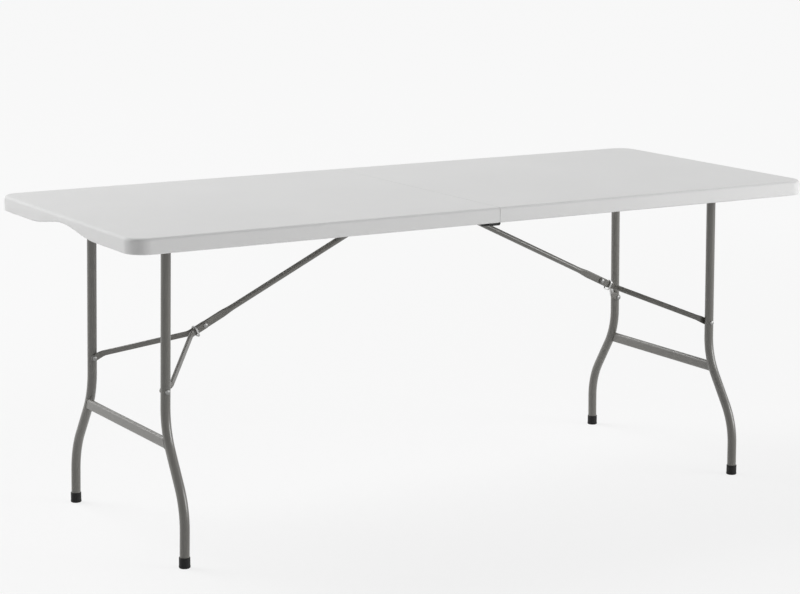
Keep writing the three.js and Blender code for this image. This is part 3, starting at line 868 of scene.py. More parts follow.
@dataclass(frozen=True)
class TopHalf:
    """One moulded half of the table top."""

    side: Side
    corner_radius: float = 0.045
    top_edge_radius: float = 0.007
    lower_edge_radius: float = 0.003
    seam_edge_radius: float = 0.0015
    skirt_thickness: float = 0.016
    seam_wall: float = 0.007
    tray_draft: float = 0.002
    plate_thickness: float = 0.0085
    grip_span: float = 0.350
    grip_rise: float = 0.0175
    grip_steps: int = 40
    grip_margin: float = 0.002
    dimple_pitch: float = 0.058
    dimple_rib: float = 0.007
    dimple_slope: float = 0.003
    dimple_depth: float = 0.0045
    whole_cell_share: float = 0.95
    corner_segments: int = 14
    edge_segments: int = 6
    rim_segments: int = 3
    seam_segments: int = 2

    def build(self, wardrobe: Wardrobe) -> list[bpy.types.Object]:
        """Model and dress the half.

        Args:
            wardrobe: Materials to dress it in.

        Returns:
            The half as the only piece.
        """
        node = f"tabletop_{self.side.value}"
        low, high = node_box(node)
        mesh = self._block(low, high)
        level = self._hollow(mesh, low, high)
        self._dimples(mesh, level, low, high)
        self._grip(mesh, low, high)
        self._round_top(mesh, high)
        piece = Piece(f"moulded_{node}", f"half_{self.side.value}", MOULDED_WHITE, (node,))
        return [piece.make(mesh, wardrobe)]

    def _outward(self, low: Vector, high: Vector) -> float:
        """Return the X of the free end."""
        return high.x if self.side is Side.RIGHT else low.x

    def _seam(self, low: Vector, high: Vector) -> float:
        """Return the X of the seam face."""
        return low.x if self.side is Side.RIGHT else high.x

    def _block(self, low: Vector, high: Vector) -> bmesh.types.BMesh:
        """Make the outer block with its round corners at the free end.

        Args:
            low: Lowest corner of the half.
            high: Highest corner of the half.

        Returns:
            The solid block.
        """
        mesh = bmesh.new()
        place = Matrix.Translation((low + high) / 2.0) @ Matrix.Diagonal((*(high - low), 1.0))
        bmesh.ops.create_cube(mesh, size=1.0, matrix=place)
        end = self._outward(low, high)
        upright = [
            edge
            for edge in mesh.edges
            if all(abs(vert.co.x - end) < PLACE_TOLERANCE for vert in edge.verts)
            and abs(edge.verts[0].co.z - edge.verts[1].co.z) > PLACE_TOLERANCE
        ]
        round_edges(mesh, upright, self.corner_radius, self.corner_segments)
        return mesh

    def _hollow(self, mesh: bmesh.types.BMesh, low: Vector, high: Vector) -> float:
        """Sink the tray into the underside.

        Args:
            mesh: Block to hollow.
            low: Lowest corner of the half.
            high: Highest corner of the half.

        Returns:
            Height of the tray's floor.
        """
        underside = min(mesh.faces, key=lambda face: face.calc_center_median().z)
        bmesh.ops.inset_region(
            mesh,
            faces=[underside],
            thickness=self.skirt_thickness,
            use_even_offset=True,
        )
        seam = self._seam(low, high)
        near = self.skirt_thickness + PLACE_TOLERANCE
        for vert in underside.verts:
            if abs(vert.co.x - seam) < near:
                vert.co.x = seam + self.side.sign * self.seam_wall
        made = bmesh.ops.extrude_face_region(mesh, geom=[underside])["geom"]
        verts = [item for item in made if isinstance(item, bmesh.types.BMVert)]
        lift = high.z - self.plate_thickness - low.z
        bmesh.ops.translate(mesh, verts=verts, vec=AXIS_Z * lift)
        centre = sum((vert.co for vert in verts), Vector()) / len(verts)
        half_width = max(abs(vert.co.y) for vert in verts)
        shrink = 1.0 - self.tray_draft / half_width
        bmesh.ops.scale(mesh, verts=verts, vec=(shrink, shrink, 1.0), space=Matrix.Translation(-centre))
        bmesh.ops.delete(mesh, geom=[underside], context="FACES_ONLY")
        return low.z + lift

    def _dimples(self, mesh: bmesh.types.BMesh, level: float, low: Vector, high: Vector) -> None:
        """Press a grid of shallow dimples into the tray's floor.

        Args:
            mesh: Hollowed half to change.
            level: Height of the tray's floor.
            low: Lowest corner of the half.
            high: Highest corner of the half.
        """
        for normal, first, last in ((AXIS_X, low.x, high.x), (AXIS_Y, low.y, high.y)):
            count = int((last - first) // self.dimple_pitch)
            start = (first + last - count * self.dimple_pitch) / 2.0
            for step in range(count + 1):
                floor = [face for face in mesh.faces if self._on_floor(face, level)]
                slice_faces(mesh, floor, normal * (start + step * self.dimple_pitch), normal)
        whole = self.dimple_pitch**2 * self.whole_cell_share
        cells = [face for face in mesh.faces if self._on_floor(face, level) and face.calc_area() > whole]
        bmesh.ops.inset_individual(mesh, faces=cells, thickness=self.dimple_rib, use_even_offset=True)
        bmesh.ops.inset_individual(
            mesh,
            faces=cells,
            thickness=self.dimple_slope,
            depth=-self.dimple_depth,
            use_even_offset=True,
        )

    @staticmethod
    def _on_floor(face: bmesh.types.BMFace, level: float) -> bool:
        """Return whether a face lies in the tray's floor."""
        return all(abs(vert.co.z - level) < PLACE_TOLERANCE for vert in face.verts)

    def _grip(self, mesh: bmesh.types.BMesh, low: Vector, high: Vector) -> None:
        """Arch the lower edge of the end skirt as a hand grip and round the rim.

        Args:
            mesh: Half to change.
            low: Lowest corner of the half.
            high: Highest corner of the half.
        """
        end = self._outward(low, high)
        reach = self.skirt_thickness + self.grip_margin
        for step in range(self.grip_steps + 1):
            share = step / self.grip_steps - 0.5
            wall = [face for face in mesh.faces if self._near_end(face, end, reach)]
            slice_faces(mesh, wall, AXIS_Y * (self.grip_span * share), AXIS_Y)
        rim = level_edges(sharp_edges(mesh), low.z)
        for vert in mesh.verts:
            share = vert.co.y / self.grip_span
            at_rim = abs(vert.co.z - low.z) < PLACE_TOLERANCE and abs(vert.co.x - end) < reach
            if at_rim and abs(share) < 0.5:
                vert.co.z += self.grip_rise / 2.0 * (1.0 + math.cos(FULL_TURN * share))
        round_edges(mesh, rim, self.lower_edge_radius, self.rim_segments)

    @staticmethod
    def _near_end(face: bmesh.types.BMFace, end: float, reach: float) -> bool:
        """Return whether a face belongs to the end skirt."""
        return all(abs(vert.co.x - end) < reach for vert in face.verts)

    def _round_top(self, mesh: bmesh.types.BMesh, high: Vector) -> None:
        """Round the top edge, less at the seam than at the free sides.

        Args:
            mesh: Half to change.
            high: Highest corner of the half.
        """
        outline = level_edges(sharp_edges(mesh), high.z)
        inner = min(abs(vert.co.x) for edge in outline for vert in edge.verts) + PLACE_TOLERANCE
        free = [edge for edge in outline if any(abs(vert.co.x) > inner for vert in edge.verts)]
        round_edges(mesh, free, self.top_edge_radius, self.edge_segments)
        top = level_edges(list(mesh.edges), high.z)
        seam = [edge for edge in top if all(abs(vert.co.x) < inner for vert in edge.verts)]
        round_edges(mesh, seam, self.seam_edge_radius, self.seam_segments)


# Leg frames


@dataclass(frozen=True)
class LegFrame:
    """Pair of bent legs with their crossbar, pivot tube, feet and rivets."""

    side: Side
    tube_radius: float = 0.011
    bend_top: float = 0.335
    bend_bottom: float = 0.080
    bend_radius: float = 0.174
    joggle: float = 0.098
    splay: float = 0.013
    tube_rim: float = 0.0005
    foot_fit: float = 0.0001
    foot_band_share: float = 0.2
    foot_waist: float = 0.0004
    foot_plug_share: float = 0.5
    sole_radius: float = 0.0022
    mouth_radius: float = 0.0008
    foot_segments: int = 4
    weld_radius: float = 0.0016
    weld_steps: int = 36
    tube_sides: int = 32
    bend_steps: int = 12

    @property
    def body(self) -> str:
        """Name of the moving body."""
        return f"leg_frame_{self.side.value}"

    @property
    def pivot(self) -> Vector:
        """Pivot of the leg frame at rest."""
        return joint_place(f"leg_fold_{self.side.value}")

    def leg_x(self, height: float) -> float:
        """Return the X of the leg's middle line at a height."""
        return self.pivot.x + self.side.sign * self.splay * (1.0 - height / self.pivot.z)

    def build(self, wardrobe: Wardrobe) -> list[bpy.types.Object]:
        """Model and dress every piece of the leg frame.

        Args:
            wardrobe: Materials to dress them in.

        Returns:
            The pieces.
        """
        side = self.side.value
        made = []
        for row in Row:
            tag = f"{row.value}_{side}"
            leg = Piece(f"bent_leg_{tag}", self.body, GREY_COAT, (f"leg_{tag}",))
            made.append(leg.make(self._leg(row), wardrobe))
            foot = Piece(f"moulded_foot_{tag}", self.body, FOOT_BLACK, (f"foot_cap_{tag}",))
            made.append(foot.make(self._foot(row), wardrobe))
            rivet = Piece(f"leg_pin_{tag}", self.body, DULL_ZINC, (f"leg_rivet_{tag}",))
            made.append(rivet.make(FRAME_RIVET.in_node(f"leg_rivet_{tag}", row.sign), wardrobe))
        crossbar = Piece(f"flat_crossbar_{side}", self.body, GREY_COAT, (f"crossbar_{side}",))
        made.append(crossbar.make(self._crossbar(), wardrobe))
        pivot = Piece(f"top_tube_{side}", self.body, GREY_COAT, (f"pivot_tube_{side}",))
        made.append(pivot.make(self._pivot_tube(), wardrobe))
        welds = Piece(f"leg_welds_{side}", self.body, GREY_COAT)
        made.append(welds.make(self._welds(), wardrobe))
        return made

    def _leg(self, row: Row) -> bmesh.types.BMesh:
        """Bend one leg from the pivot tube to its foot.

        Args:
            row: Side of the leg.

        Returns:
            The leg.
        """
        sweep = TubeSweep(self.tube_sides)
        for height, y, heading in self._leg_line(row):
            centre = Vector((self.leg_x(height), y, height))
            across = Vector((0.0, math.cos(heading), row.sign * math.sin(heading)))
            sweep.ring(centre, across, AXIS_X, self.tube_radius, self.tube_radius)
        return sweep.closed()

    def _foot(self, row: Row) -> bmesh.types.BMesh:
        """Turn the foot cap with its rounded sole, wider band and rolled mouth.

        Args:
            row: Side of the leg.

        Returns:
            The foot cap.
        """
        low, high = node_box(f"foot_cap_{row.value}_{self.side.value}")
        radius = (high.x - low.x) / 2.0
        height = high.z - low.z
        place = Vector(((low.x + high.x) / 2.0, (low.y + high.y) / 2.0, low.z))
        inner = self.tube_radius + self.foot_fit
        waist = radius - self.foot_waist
        band = self.foot_band_share * height
        plug = self.foot_plug_share * height
        profile = [
            (0.0, 0.0),
            (radius, 0.0),
            (radius, band),
            (waist, band),
            (waist, height),
            (inner, height),
            (inner, plug),
            (0.0, plug),
        ]
        mesh = turned(profile, AXIS_Z, place)
        round_edges(mesh, level_edges(sharp_edges(mesh), low.z), self.sole_radius, self.foot_segments)
        round_edges(mesh, level_edges(sharp_edges(mesh), high.z), self.mouth_radius, self.foot_segments)
        return mesh

    def _crossbar(self) -> bmesh.types.BMesh:
        """Draw the flattened tube between the legs.

        Returns:
            The crossbar.
        """
        low, high = node_box(f"crossbar_{self.side.value}")
        half_depth = (high.z - low.z) / 2.0
        half_thickness = (high.x - low.x) / 2.0
        centre = (low + high) / 2.0
        return straight_bar(centre, (low.y, high.y), half_depth, half_thickness, self.tube_sides)

    def _leg_line(self, row: Row) -> list[Station]:
        """Work out the leg's middle line.

        Args:
            row: Side of the leg.

        Returns:
            Height, Y and heading of each station, from the top down.
        """
        foot_low, foot_high = node_box(f"foot_cap_{row.value}_{self.side.value}")
        foot_y = (foot_low.y + foot_high.y) / 2.0
        upper_y = foot_y - row.sign * self.joggle
        line = [(self.pivot.z, upper_y, 0.0)]
        bend = double_bend(self.bend_top - self.bend_bottom, self.joggle, self.bend_radius, self.bend_steps)
        for along, across, heading in bend:
            line.append((self.bend_top - along, upper_y + row.sign * across, heading))
        line.append(((foot_low.z + foot_high.z) / 2.0, foot_y, 0.0))
        return line

    def _leg_y(self, row: Row, height: float) -> float:
        """Work out the Y of a leg's middle line.

        Args:
            row: Side of the leg.
            height: Height above the floor.

        Returns:
            The Y at that height.
        """
        line = self._leg_line(row)
        for (above, first_y, _), (below, second_y, _) in zip(line, line[1:]):
            if below <= height <= above:
                return first_y + (second_y - first_y) * (above - height) / (above - below)
        return line[-1][1]

    def _welds(self) -> bmesh.types.BMesh:
        """Draw the weld beads under the top tube and at both ends of the crossbar.

        Returns:
            All beads of the leg frame.
        """
        mesh = bmesh.new()
        turns = [FULL_TURN * (step + 0.5) / self.weld_steps for step in range(self.weld_steps)]
        for row in Row:
            saddle = [self._saddle_point(row, turn) for turn in turns]
            merge_into(mesh, weld_bead(saddle, self.weld_radius))
            mouth = [self._mouth_point(row, turn) for turn in turns]
            merge_into(mesh, weld_bead(mouth, self.weld_radius))
        return mesh

    def _saddle_point(self, row: Row, turn: float) -> Vector:
        """Find a point where a leg meets the top tube.

        Args:
            row: Side of the leg.
            turn: Angle round the leg.

        Returns:
            The point on both surfaces.
        """
        x = self.tube_radius * math.cos(turn)
        y = self._leg_y(row, self.pivot.z) + self.tube_radius * math.sin(turn)
        drop = math.sqrt(max(self.tube_radius**2 - x * x, 0.0))
        return Vector((self.pivot.x + x, y, self.pivot.z - drop))

    def _mouth_point(self, row: Row, turn: float) -> Vector:
        """Find a point where the crossbar meets a leg.

        Args:
            row: Side of the leg.
            turn: Angle round the crossbar.

        Returns:
            The point on both surfaces.
        """
        low, high = node_box(f"crossbar_{self.side.value}")
        half_thickness = (high.x - low.x) / 2.0
        straight = (high.z - low.z) / 2.0 - half_thickness
        x = (low.x + high.x) / 2.0 + half_thickness * math.cos(turn)
        rise = half_thickness * math.sin(turn)
        z = (low.z + high.z) / 2.0 + rise + math.copysign(straight, rise)
        beside = min(abs(x - self.leg_x(z)), self.tube_radius)
        inward = math.sqrt(self.tube_radius**2 - beside**2)
        return Vector((x, self._leg_y(row, z) - row.sign * inward, z))

    def _pivot_tube(self) -> bmesh.types.BMesh:
        """Draw the tube that the frame turns on.

        Returns:
            The tube.
        """
        low, high = node_box(f"pivot_tube_{self.side.value}")
        radius = self.tube_radius
        return straight_bar(self.pivot, (low.y, high.y), radius, radius, self.tube_sides, self.tube_rim)


# Folding braces


@dataclass(frozen=True)
class Brace:
    """Jointed brace of one side: strut, yoke arms, rivets and lock ring."""

    side: Side
    strut_radius: float = 0.007
    eye_radius: float = 0.0106
    eye_length: float = 0.024
    flat_thickness: float = 0.006
    flat_height: float = 0.0185
    flat_length: float = 0.045
    flare_length: float = 0.036
    tongue: float = 0.029
    tab_thickness: float = 0.003
    tab_height: float = 0.016
    knee_tab: float = 0.030
    leg_tab: float = 0.014
    arm_thickness: float = 0.007
    arm_height: float = 0.0135
    arm_bend_radius: float = 0.018
    seat_gap: float = 0.0003
    ring_offset: float = 0.025
    ring_length: float = 0.004
    ring_wall: float = 0.0018
    ring_inner_width: float = 0.019
    ring_inner_height: float = 0.0228
    ring_corner: float = 0.005
    ring_rim: float = 0.0005
    eye_wall: float = 0.002
    eye_rim: float = 0.0006
    eye_overlap: float = 0.0085
    tip_radius: float = 0.004
    tube_sides: int = 28
    flare_steps: int = 8
    bend_steps: int = 8
    round_steps: int = 5
    corner_segments: int = 8
    rim_segments: int = 3

    @property
    def eye(self) -> Vector:
        """Pivot of the strut at rest."""
        return joint_place(f"strut_turn_{self.side.value}")

    @property
    def knee(self) -> Vector:
        """Pivot of the knee at rest."""
        return joint_place(f"knee_turn_{self.side.value}")

    @property
    def along(self) -> Vector:
        """Direction of the brace from the eye to the leg."""
        return (self.knee - self.eye).normalized()

    @property
    def above(self) -> Vector:
        """Direction square to the brace, upwards."""
        return (AXIS_Z - self.along * self.along.z).normalized()

    @property
    def knee_reach(self) -> float:
        """Distance from the eye to the knee."""
        return (self.knee - self.eye).length

    def build(self, wardrobe: Wardrobe) -> list[bpy.types.Object]:
        """Model and dress every piece of the brace.

        Args:
            wardrobe: Materials to dress them in.

        Returns:
            The pieces.
        """
        side = self.side.value
        bar = f"brace_strut_{side}"
        yoke = f"brace_yoke_{side}"
        made = []
        strut = Piece(f"flat_end_strut_{side}", bar, GREY_COAT, (f"strut_{side}",))
        made.append(strut.make(self._strut(), wardrobe))
        knee = Piece(f"knee_pin_{side}", bar, DULL_ZINC, (f"knee_rivet_{side}",))
        made.append(knee.make(self._knee_rivet(), wardrobe))
        ring = Piece(f"oblong_ring_{side}", f"brace_ring_{side}", BRIGHT_PLATE, (f"lock_ring_{side}",))
        made.append(ring.make(self._ring(), wardrobe))
        for row in Row:
            tag = f"{row.value}_{side}"
            arm = Piece(f"bent_arm_{tag}", yoke, GREY_COAT, (f"yoke_arm_{tag}",))
            made.append(arm.make(self._arm(row), wardrobe))
            rivet = Piece(f"arm_pin_{tag}", yoke, DULL_ZINC, (f"yoke_rivet_{tag}",))
            made.append(rivet.make(FRAME_RIVET.in_node(f"yoke_rivet_{tag}", -row.sign), wardrobe))
        return made

    def _point(self, along: float, beside: float, above: float = 0.0) -> Vector:
        """Return a point by its distances from the eye along, beside and above the brace."""
        return self.eye + self.along * along + AXIS_Y * beside + self.above * above

    def _strut(self) -> bmesh.types.BMesh:
        """Draw the strut with its flattened end and its eye.

        Returns:
            The strut.
        """
        sweep = TubeSweep(self.tube_sides)
        flare_start = self.knee_reach - self.flat_length - self.flare_length
        half_flat = self.flat_height / 2.0
        half_thick = self.flat_thickness / 2.0
        rings = [(self.eye_overlap, self.strut_radius, self.strut_radius)]
        for step in range(self.flare_steps + 1):
            share = step / self.flare_steps
            height = self.strut_radius + (half_flat - self.strut_radius) * eased(share)
            width = self.strut_radius + (half_thick - self.strut_radius) * eased(share)
            rings.append((flare_start + self.flare_length * share, height, width))
        tip_start = self.knee_reach + self.tongue - self.tip_radius
        for step in range(self.round_steps + 1):
            angle = QUARTER_TURN * step / self.round_steps
            height = half_flat - self.tip_radius * (1.0 - math.cos(angle))
            rings.append((tip_start + self.tip_radius * math.sin(angle), height, half_thick))
        for along, height, width in rings:
            sweep.ring(self._point(along, 0.0), self.above, AXIS_Y, height, width)
        mesh = sweep.closed()
        merge_into(mesh, self._eye_sleeve())
        return mesh

    def _eye_sleeve(self) -> bmesh.types.BMesh:
        """Turn the sleeve at the strut's end.

        Returns:
            The sleeve with rounded rims.
        """
        half = self.eye_length / 2.0
        bore = self.eye_radius - self.eye_wall
        profile = [
            (bore, -half),
            (self.eye_radius, -half),
            (self.eye_radius, half),
            (bore, half),
            (bore, -half),
        ]
        mesh = turned(profile, AXIS_Y, self.eye)
        round_edges(mesh, sharp_edges(mesh, RIM_ANGLE), self.eye_rim, self.rim_segments)
        return mesh

    def _knee_rivet(self) -> bmesh.types.BMesh:
        """Turn the knee's rivet, which has a head at each side.

        Returns:
            The rivet, with a gap at both faces of each tab.
        """
        tab_room = self.tab_thickness + 2.0 * self.seat_gap
        grip = self.flat_thickness + 2.0 * tab_room
        return turned(FRAME_RIVET.two_heads(grip), AXIS_Y, self.knee)

    def _arm(self, row: Row) -> bmesh.types.BMesh:
        """Draw one yoke arm with its flattened tabs.

        Args:
            row: Side of the arm.

        Returns:
            The arm.
        """
        low, high = node_box(f"yoke_arm_{row.value}_{self.side.value}")
        inner = self.flat_thickness / 2.0 + self.seat_gap + self.tab_thickness / 2.0
        outer = max(abs(low.y), abs(high.y)) - self.tab_thickness / 2.0
        reach = self._leg_pivot_reach(row)
        run = reach - self.leg_tab - self.knee_tab
        bend = double_bend(run, outer - inner, self.arm_bend_radius, self.bend_steps)
        turn = max(heading for _, _, heading in bend)
        angles = [QUARTER_TURN * step / self.round_steps for step in range(self.round_steps + 1)]
        sweep = TubeSweep(self.tube_sides)
        for angle in reversed(angles):
            self._tab_ring(sweep, row, -math.sin(angle) * self.tab_height / 2.0, inner, angle)
        for along, across, heading in bend:
            share = heading / turn
            height = self.tab_height + (self.arm_height - self.tab_height) * share
            width = self.tab_thickness + (self.arm_thickness - self.tab_thickness) * share
            outward = AXIS_Y * (row.sign * math.cos(heading)) - self.along * math.sin(heading)
            centre = self._point(self.knee_reach + self.knee_tab + along, row.sign * (inner + across))
            sweep.ring(centre, self.above, outward, height / 2.0, width / 2.0)
        for angle in angles:
            self._tab_ring(sweep, row, reach + math.sin(angle) * self.tab_height / 2.0, outer, angle)
        return sweep.closed()

    def _tab_ring(self, sweep: TubeSweep, row: Row, along: float, beside: float, angle: float) -> None:
        """Add one ring of a tab's round end.

        Args:
            sweep: Sweep to add to.
            row: Side of the arm.
            along: Distance from the knee.
            beside: Distance from the table's middle line.
            angle: Place in the round end, from 0 at the rivet to a quarter turn at the tip.
        """
        half = max(self.tab_height * math.cos(angle), self.tab_thickness) / 2.0
        centre = self._point(self.knee_reach + along, row.sign * beside)
        sweep.ring(centre, self.above, AXIS_Y * row.sign, half, self.tab_thickness / 2.0)

    def _leg_pivot_reach(self, row: Row) -> float:
        """Work out how far the pivot on the leg lies from the knee.

        Args:
            row: Side of the arm.

        Returns:
            The distance along the brace.
        """
        low, high = node_box(f"yoke_rivet_{row.value}_{self.side.value}")
        middle = (low + high) / 2.0
        return (Vector((middle.x, 0.0, middle.z)) - self.knee).length

    def _ring(self) -> bmesh.types.BMesh:
        """Bend the lock ring's strip round the knee.

        Returns:
            The ring.
        """
        top = self.flat_height / 2.0 + self.seat_gap
        middle = self._point(self.knee_reach + self.ring_offset, 0.0, top - self.ring_inner_height / 2.0)
        turn = Matrix((self.along, AXIS_Y, self.above)).transposed().to_4x4()
        grow = 2.0 * self.ring_wall
        size = (self.ring_length, self.ring_inner_width + grow, self.ring_inner_height + grow, 1.0)
        mesh = bmesh.new()
        bmesh.ops.create_cube(mesh, size=1.0, matrix=Matrix.Diagonal(size))
        ends = [face for face in mesh.faces if abs(face.normal.x) > math.cos(RIM_ANGLE)]
        bmesh.ops.delete(mesh, geom=ends, context="FACES_ONLY")
        folds = [edge for edge in mesh.edges if edge.verts[0].co.x * edge.verts[1].co.x < 0.0]
        round_edges(mesh, folds, self.ring_corner + self.ring_wall, self.corner_segments)
        bmesh.ops.recalc_face_normals(mesh, faces=mesh.faces)
        bmesh.ops.solidify(mesh, geom=mesh.faces[:], thickness=self.ring_wall)
        bmesh.ops.recalc_face_normals(mesh, faces=mesh.faces)
        round_edges(mesh, sharp_edges(mesh, RIM_ANGLE), self.ring_rim, self.rim_segments)
        bmesh.ops.transform(mesh, matrix=Matrix.Translation(middle) @ turn, verts=mesh.verts)
        return mesh


# Rails and hinges


@dataclass(frozen=True)
class Underframe:
    """Rails, hinge leaves and cross tube under one half."""

    side: Side
    rail_softening: float = 0.0008
    leaf_softening: float = 0.0006
    rail_wall: float = 0.002
    tube_sides: int = 32
    screw_steps: int = 20
    screws_per_rail: int = 6
    screw_inset: float = 0.035
    screw_edge: float = 0.005

    def build(self, wardrobe: Wardrobe) -> list[bpy.types.Object]:
        """Model and dress the pieces under the half.

        Args:
            wardrobe: Materials to dress them in.

        Returns:
            The pieces.
        """
        side = self.side.value
        body = f"half_{side}"
        made = []
        for row in Row:
            tag = f"{row.value}_{side}"
            rail = Piece(f"pressed_rail_{tag}", body, GREY_COAT, (f"rail_{tag}",))
            made.append(rail.make(softened(f"rail_{tag}", self.rail_softening), wardrobe))
            leaf = Piece(f"fold_leaf_{tag}", body, DARK_COAT, (f"hinge_leaf_{tag}",))
            made.append(leaf.make(softened(f"hinge_leaf_{tag}", self.leaf_softening), wardrobe))
            screws = Piece(f"rail_screws_{tag}", body, DULL_ZINC)
            made.append(screws.make(self._screws(row), wardrobe))
        tube = Piece(f"strut_tube_{side}", body, GREY_COAT, (f"brace_tube_{side}",))
        made.append(tube.make(self._cross_tube(), wardrobe))
        return made

    def _cross_tube(self) -> bmesh.types.BMesh:
        """Draw the tube that the strut turns on.

        Returns:
            The tube.
        """
        low, high = node_box(f"brace_tube_{self.side.value}")
        radius = (high.z - low.z) / 2.0
        return straight_bar((low + high) / 2.0, (low.y, high.y), radius, radius, self.tube_sides)

    def _screws(self, row: Row) -> bmesh.types.BMesh:
        """Turn the row of screws through the rail's flange.

        Args:
            row: Side of the rail.

        Returns:
            All screws of the rail.
        """
        low, high = node_box(f"rail_{row.value}_{self.side.value}")
        outer = high.y if row is Row.BACK else low.y
        y = outer - row.sign * self.screw_edge
        first = low.x + self.screw_inset
        step = (high.x - low.x - 2.0 * self.screw_inset) / (self.screws_per_rail - 1)
        profile = RAIL_SCREW.one_head(self.rail_wall + RAIL_SCREW.head_height)
        mesh = bmesh.new()
        for index in range(self.screws_per_rail):
            place = Vector((first + step * index, y, high.z))
            merge_into(mesh, turned(profile, -AXIS_Z, place, self.screw_steps))
        return mesh


# Stage


@dataclass(frozen=True)
class Lamp:
    """One soft square light."""

    name: str
    place: Place
    aim: Place
    size: float
    power: float

    def hang(self) -> None:
        """Add the light to the scene, turned to the point that it faces."""
        data = bpy.data.lights.new(self.name, "AREA")
        data.shape = "SQUARE"
        data.size = self.size
        data.energy = self.power
        lamp = bpy.data.objects.new(self.name, data)
        lamp.location = self.place
        facing = Vector(self.aim) - Vector(self.place)
        lamp.rotation_euler = facing.to_track_quat("-Z", "Y").to_euler()
        bpy.context.scene.collection.objects.link(lamp)


HIGH_WINDOW = Lamp(
    name="high_window",
    place=(-3.0, 5.2, 7.0),
    aim=(0.0, 0.0, 0.7),
    size=5.0,
    power=530.0,
)
LOW_WINDOW = Lamp(
    name="low_window",
    place=(-6.4, 6.0, 2.4),
    aim=(0.0, 0.0, 0.5),
    size=4.5,
    power=225.0,
)
RIGHT_FRONT = Lamp(
    name="right_front",
    place=(4.05, -3.75, 1.9),
    aim=(0.4, 0.0, 0.6),
    size=2.8,
    power=182.0,
)


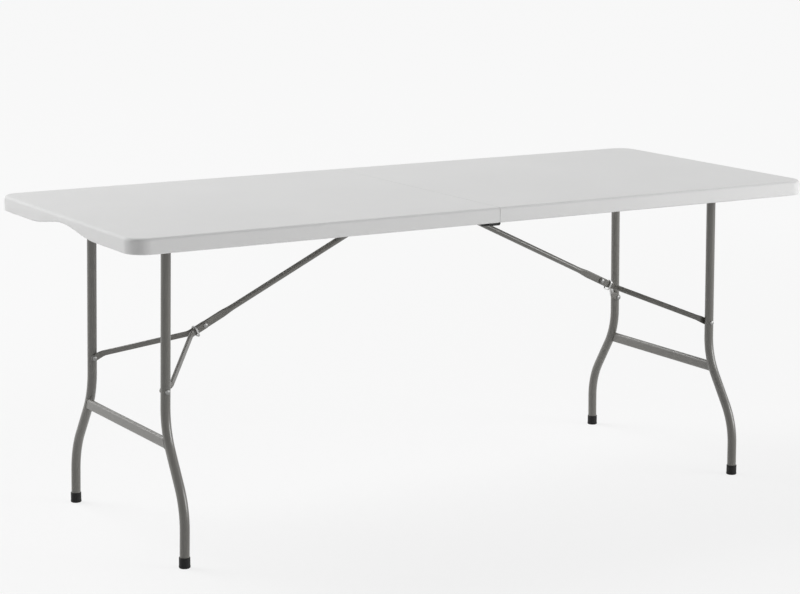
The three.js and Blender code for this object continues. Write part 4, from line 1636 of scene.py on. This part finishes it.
@dataclass(frozen=True)
class Studio:
    """Camera, soft lights, pale floor and background."""

    camera_place: Place = (-2.777, -4.516, 1.500)
    camera_heading: float = math.radians(31.247)
    camera_dip: float = math.radians(10.963)
    camera_roll: float = math.radians(0.31)
    lens: float = 101.25
    sensor: float = 36.0
    background: float = 0.93
    ambient: float = 0.28
    floor_glow: float = 0.95
    near_glow_share: float = 0.84
    far_glow_share: float = 0.98
    shaded_reach: float = 1.2
    plain_reach: float = 4.5
    floor_size: float = 60.0
    floor_colour: Colour = (0.88, 0.88, 0.88)
    floor_roughness: float = 0.9
    floor_specular: float = 0.0
    lamps: tuple[Lamp, ...] = (HIGH_WINDOW, LOW_WINDOW, RIGHT_FRONT)

    def build(self) -> None:
        """Set up the whole studio."""
        self._camera()
        self._world()
        self._floor()
        for lamp in self.lamps:
            lamp.hang()
        bpy.context.scene.view_settings.view_transform = "Standard"

    def _camera(self) -> None:
        """Place the camera at the photograph's angle."""
        data = bpy.data.cameras.new("camera")
        data.sensor_fit = "HORIZONTAL"
        data.sensor_width = self.sensor
        data.lens = self.lens
        forward = Vector(
            (
                math.sin(self.camera_heading) * math.cos(self.camera_dip),
                math.cos(self.camera_heading) * math.cos(self.camera_dip),
                -math.sin(self.camera_dip),
            )
        )
        right = Vector((math.cos(self.camera_heading), -math.sin(self.camera_heading), 0.0))
        up = right.cross(forward)
        x_axis = right * math.cos(self.camera_roll) + up * math.sin(self.camera_roll)
        y_axis = up * math.cos(self.camera_roll) - right * math.sin(self.camera_roll)
        turn = Matrix((x_axis, y_axis, -forward)).transposed().to_4x4()
        camera = bpy.data.objects.new("camera", data)
        camera.matrix_world = Matrix.Translation(self.camera_place) @ turn
        bpy.context.scene.collection.objects.link(camera)
        bpy.context.scene.camera = camera

    def _world(self) -> None:
        """Give even light, and a pale background to the camera and to reflections."""
        world = bpy.data.worlds.new("studio")
        world.use_nodes = True
        bpy.context.scene.world = world
        tree = world.node_tree
        shown = self._shown_rays(tree)
        strength = tree.nodes.new("ShaderNodeMapRange")
        strength.inputs["To Min"].default_value = self.ambient
        strength.inputs["To Max"].default_value = self.background
        tree.links.new(shown, strength.inputs["Value"])
        back = tree.nodes["Background"]
        back.inputs["Color"].default_value = rgba(WHITE)
        tree.links.new(strength.outputs["Result"], back.inputs["Strength"])

    @staticmethod
    def _shown_rays(tree: bpy.types.NodeTree) -> bpy.types.NodeSocket:
        """Mark the rays that show the background.

        Args:
            tree: Nodes to add to.

        Returns:
            Socket that is 1 for camera, glossy and transmission rays.
        """
        path = tree.nodes.new("ShaderNodeLightPath")
        first = tree.nodes.new("ShaderNodeMath")
        first.operation = "MAXIMUM"
        tree.links.new(path.outputs["Is Camera Ray"], first.inputs[0])
        tree.links.new(path.outputs["Is Glossy Ray"], first.inputs[1])
        second = tree.nodes.new("ShaderNodeMath")
        second.operation = "MAXIMUM"
        tree.links.new(first.outputs["Value"], second.inputs[0])
        tree.links.new(path.outputs["Is Transmission Ray"], second.inputs[1])
        return second.outputs["Value"]

    def _glow_share(self, tree: bpy.types.NodeTree) -> bpy.types.NodeSocket:
        """Let the floor glow less near the table, where it shows the shadow, than far away.

        Args:
            tree: Nodes to add to.

        Returns:
            Socket with the share of the glow.
        """
        points = tree.nodes.new("ShaderNodeTexCoord")
        distance = tree.nodes.new("ShaderNodeVectorMath")
        distance.operation = "LENGTH"
        tree.links.new(points.outputs["Object"], distance.inputs[0])
        share = tree.nodes.new("ShaderNodeMapRange")
        share.inputs["From Min"].default_value = self.shaded_reach
        share.inputs["From Max"].default_value = self.plain_reach
        share.inputs["To Min"].default_value = self.near_glow_share
        share.inputs["To Max"].default_value = self.far_glow_share
        tree.links.new(distance.outputs["Value"], share.inputs["Value"])
        return share.outputs["Result"]

    def _floor_material(self) -> bpy.types.Material:
        """Build the floor's material, which glows, keeps a faint shadow and is clear from below.

        Returns:
            The material.
        """
        material = bpy.data.materials.new("pale_floor")
        material.use_nodes = True
        tree = material.node_tree
        shader = tree.nodes["Principled BSDF"]
        shader.inputs["Base Color"].default_value = rgba(self.floor_colour)
        shader.inputs["Roughness"].default_value = self.floor_roughness
        shader.inputs["Specular IOR Level"].default_value = self.floor_specular
        glow = tree.nodes.new("ShaderNodeEmission")
        glow.inputs["Color"].default_value = rgba(WHITE)
        glow.inputs["Strength"].default_value = self.floor_glow
        share = tree.nodes.new("ShaderNodeMath")
        share.operation = "MULTIPLY"
        tree.links.new(self._shown_rays(tree), share.inputs[0])
        tree.links.new(self._glow_share(tree), share.inputs[1])
        lit = tree.nodes.new("ShaderNodeMixShader")
        tree.links.new(share.outputs["Value"], lit.inputs["Fac"])
        tree.links.new(shader.outputs["BSDF"], lit.inputs[1])
        tree.links.new(glow.outputs["Emission"], lit.inputs[2])
        clear = tree.nodes.new("ShaderNodeBsdfTransparent")
        facing = tree.nodes.new("ShaderNodeNewGeometry")
        one_sided = tree.nodes.new("ShaderNodeMixShader")
        tree.links.new(facing.outputs["Backfacing"], one_sided.inputs["Fac"])
        tree.links.new(lit.outputs["Shader"], one_sided.inputs[1])
        tree.links.new(clear.outputs["BSDF"], one_sided.inputs[2])
        tree.links.new(one_sided.outputs["Shader"], tree.nodes["Material Output"].inputs["Surface"])
        return material

    def _floor(self) -> None:
        """Lay the pale floor."""
        mesh = bmesh.new()
        bmesh.ops.create_grid(mesh, x_segments=1, y_segments=1, size=self.floor_size / 2.0)
        data = bpy.data.meshes.new("floor")
        mesh.to_mesh(data)
        mesh.free()
        data.materials.append(self._floor_material())
        floor = bpy.data.objects.new("floor", data)
        bpy.context.scene.collection.objects.link(floor)


# Whole table


def main() -> None:
    """Build the table's looks and its studio, and report each piece."""
    logging.basicConfig(level=logging.INFO, format="%(name)s: %(message)s")
    wardrobe = Wardrobe()
    wardrobe.dress_frame()
    for side in Side:
        for assembly in (TopHalf(side), LegFrame(side), Brace(side), Underframe(side)):
            for piece in assembly.build(wardrobe):
                LOG.info("%s: %d faces", piece.name, len(piece.data.polygons))
    Studio().build()


if __name__ == "__main__":
    main()
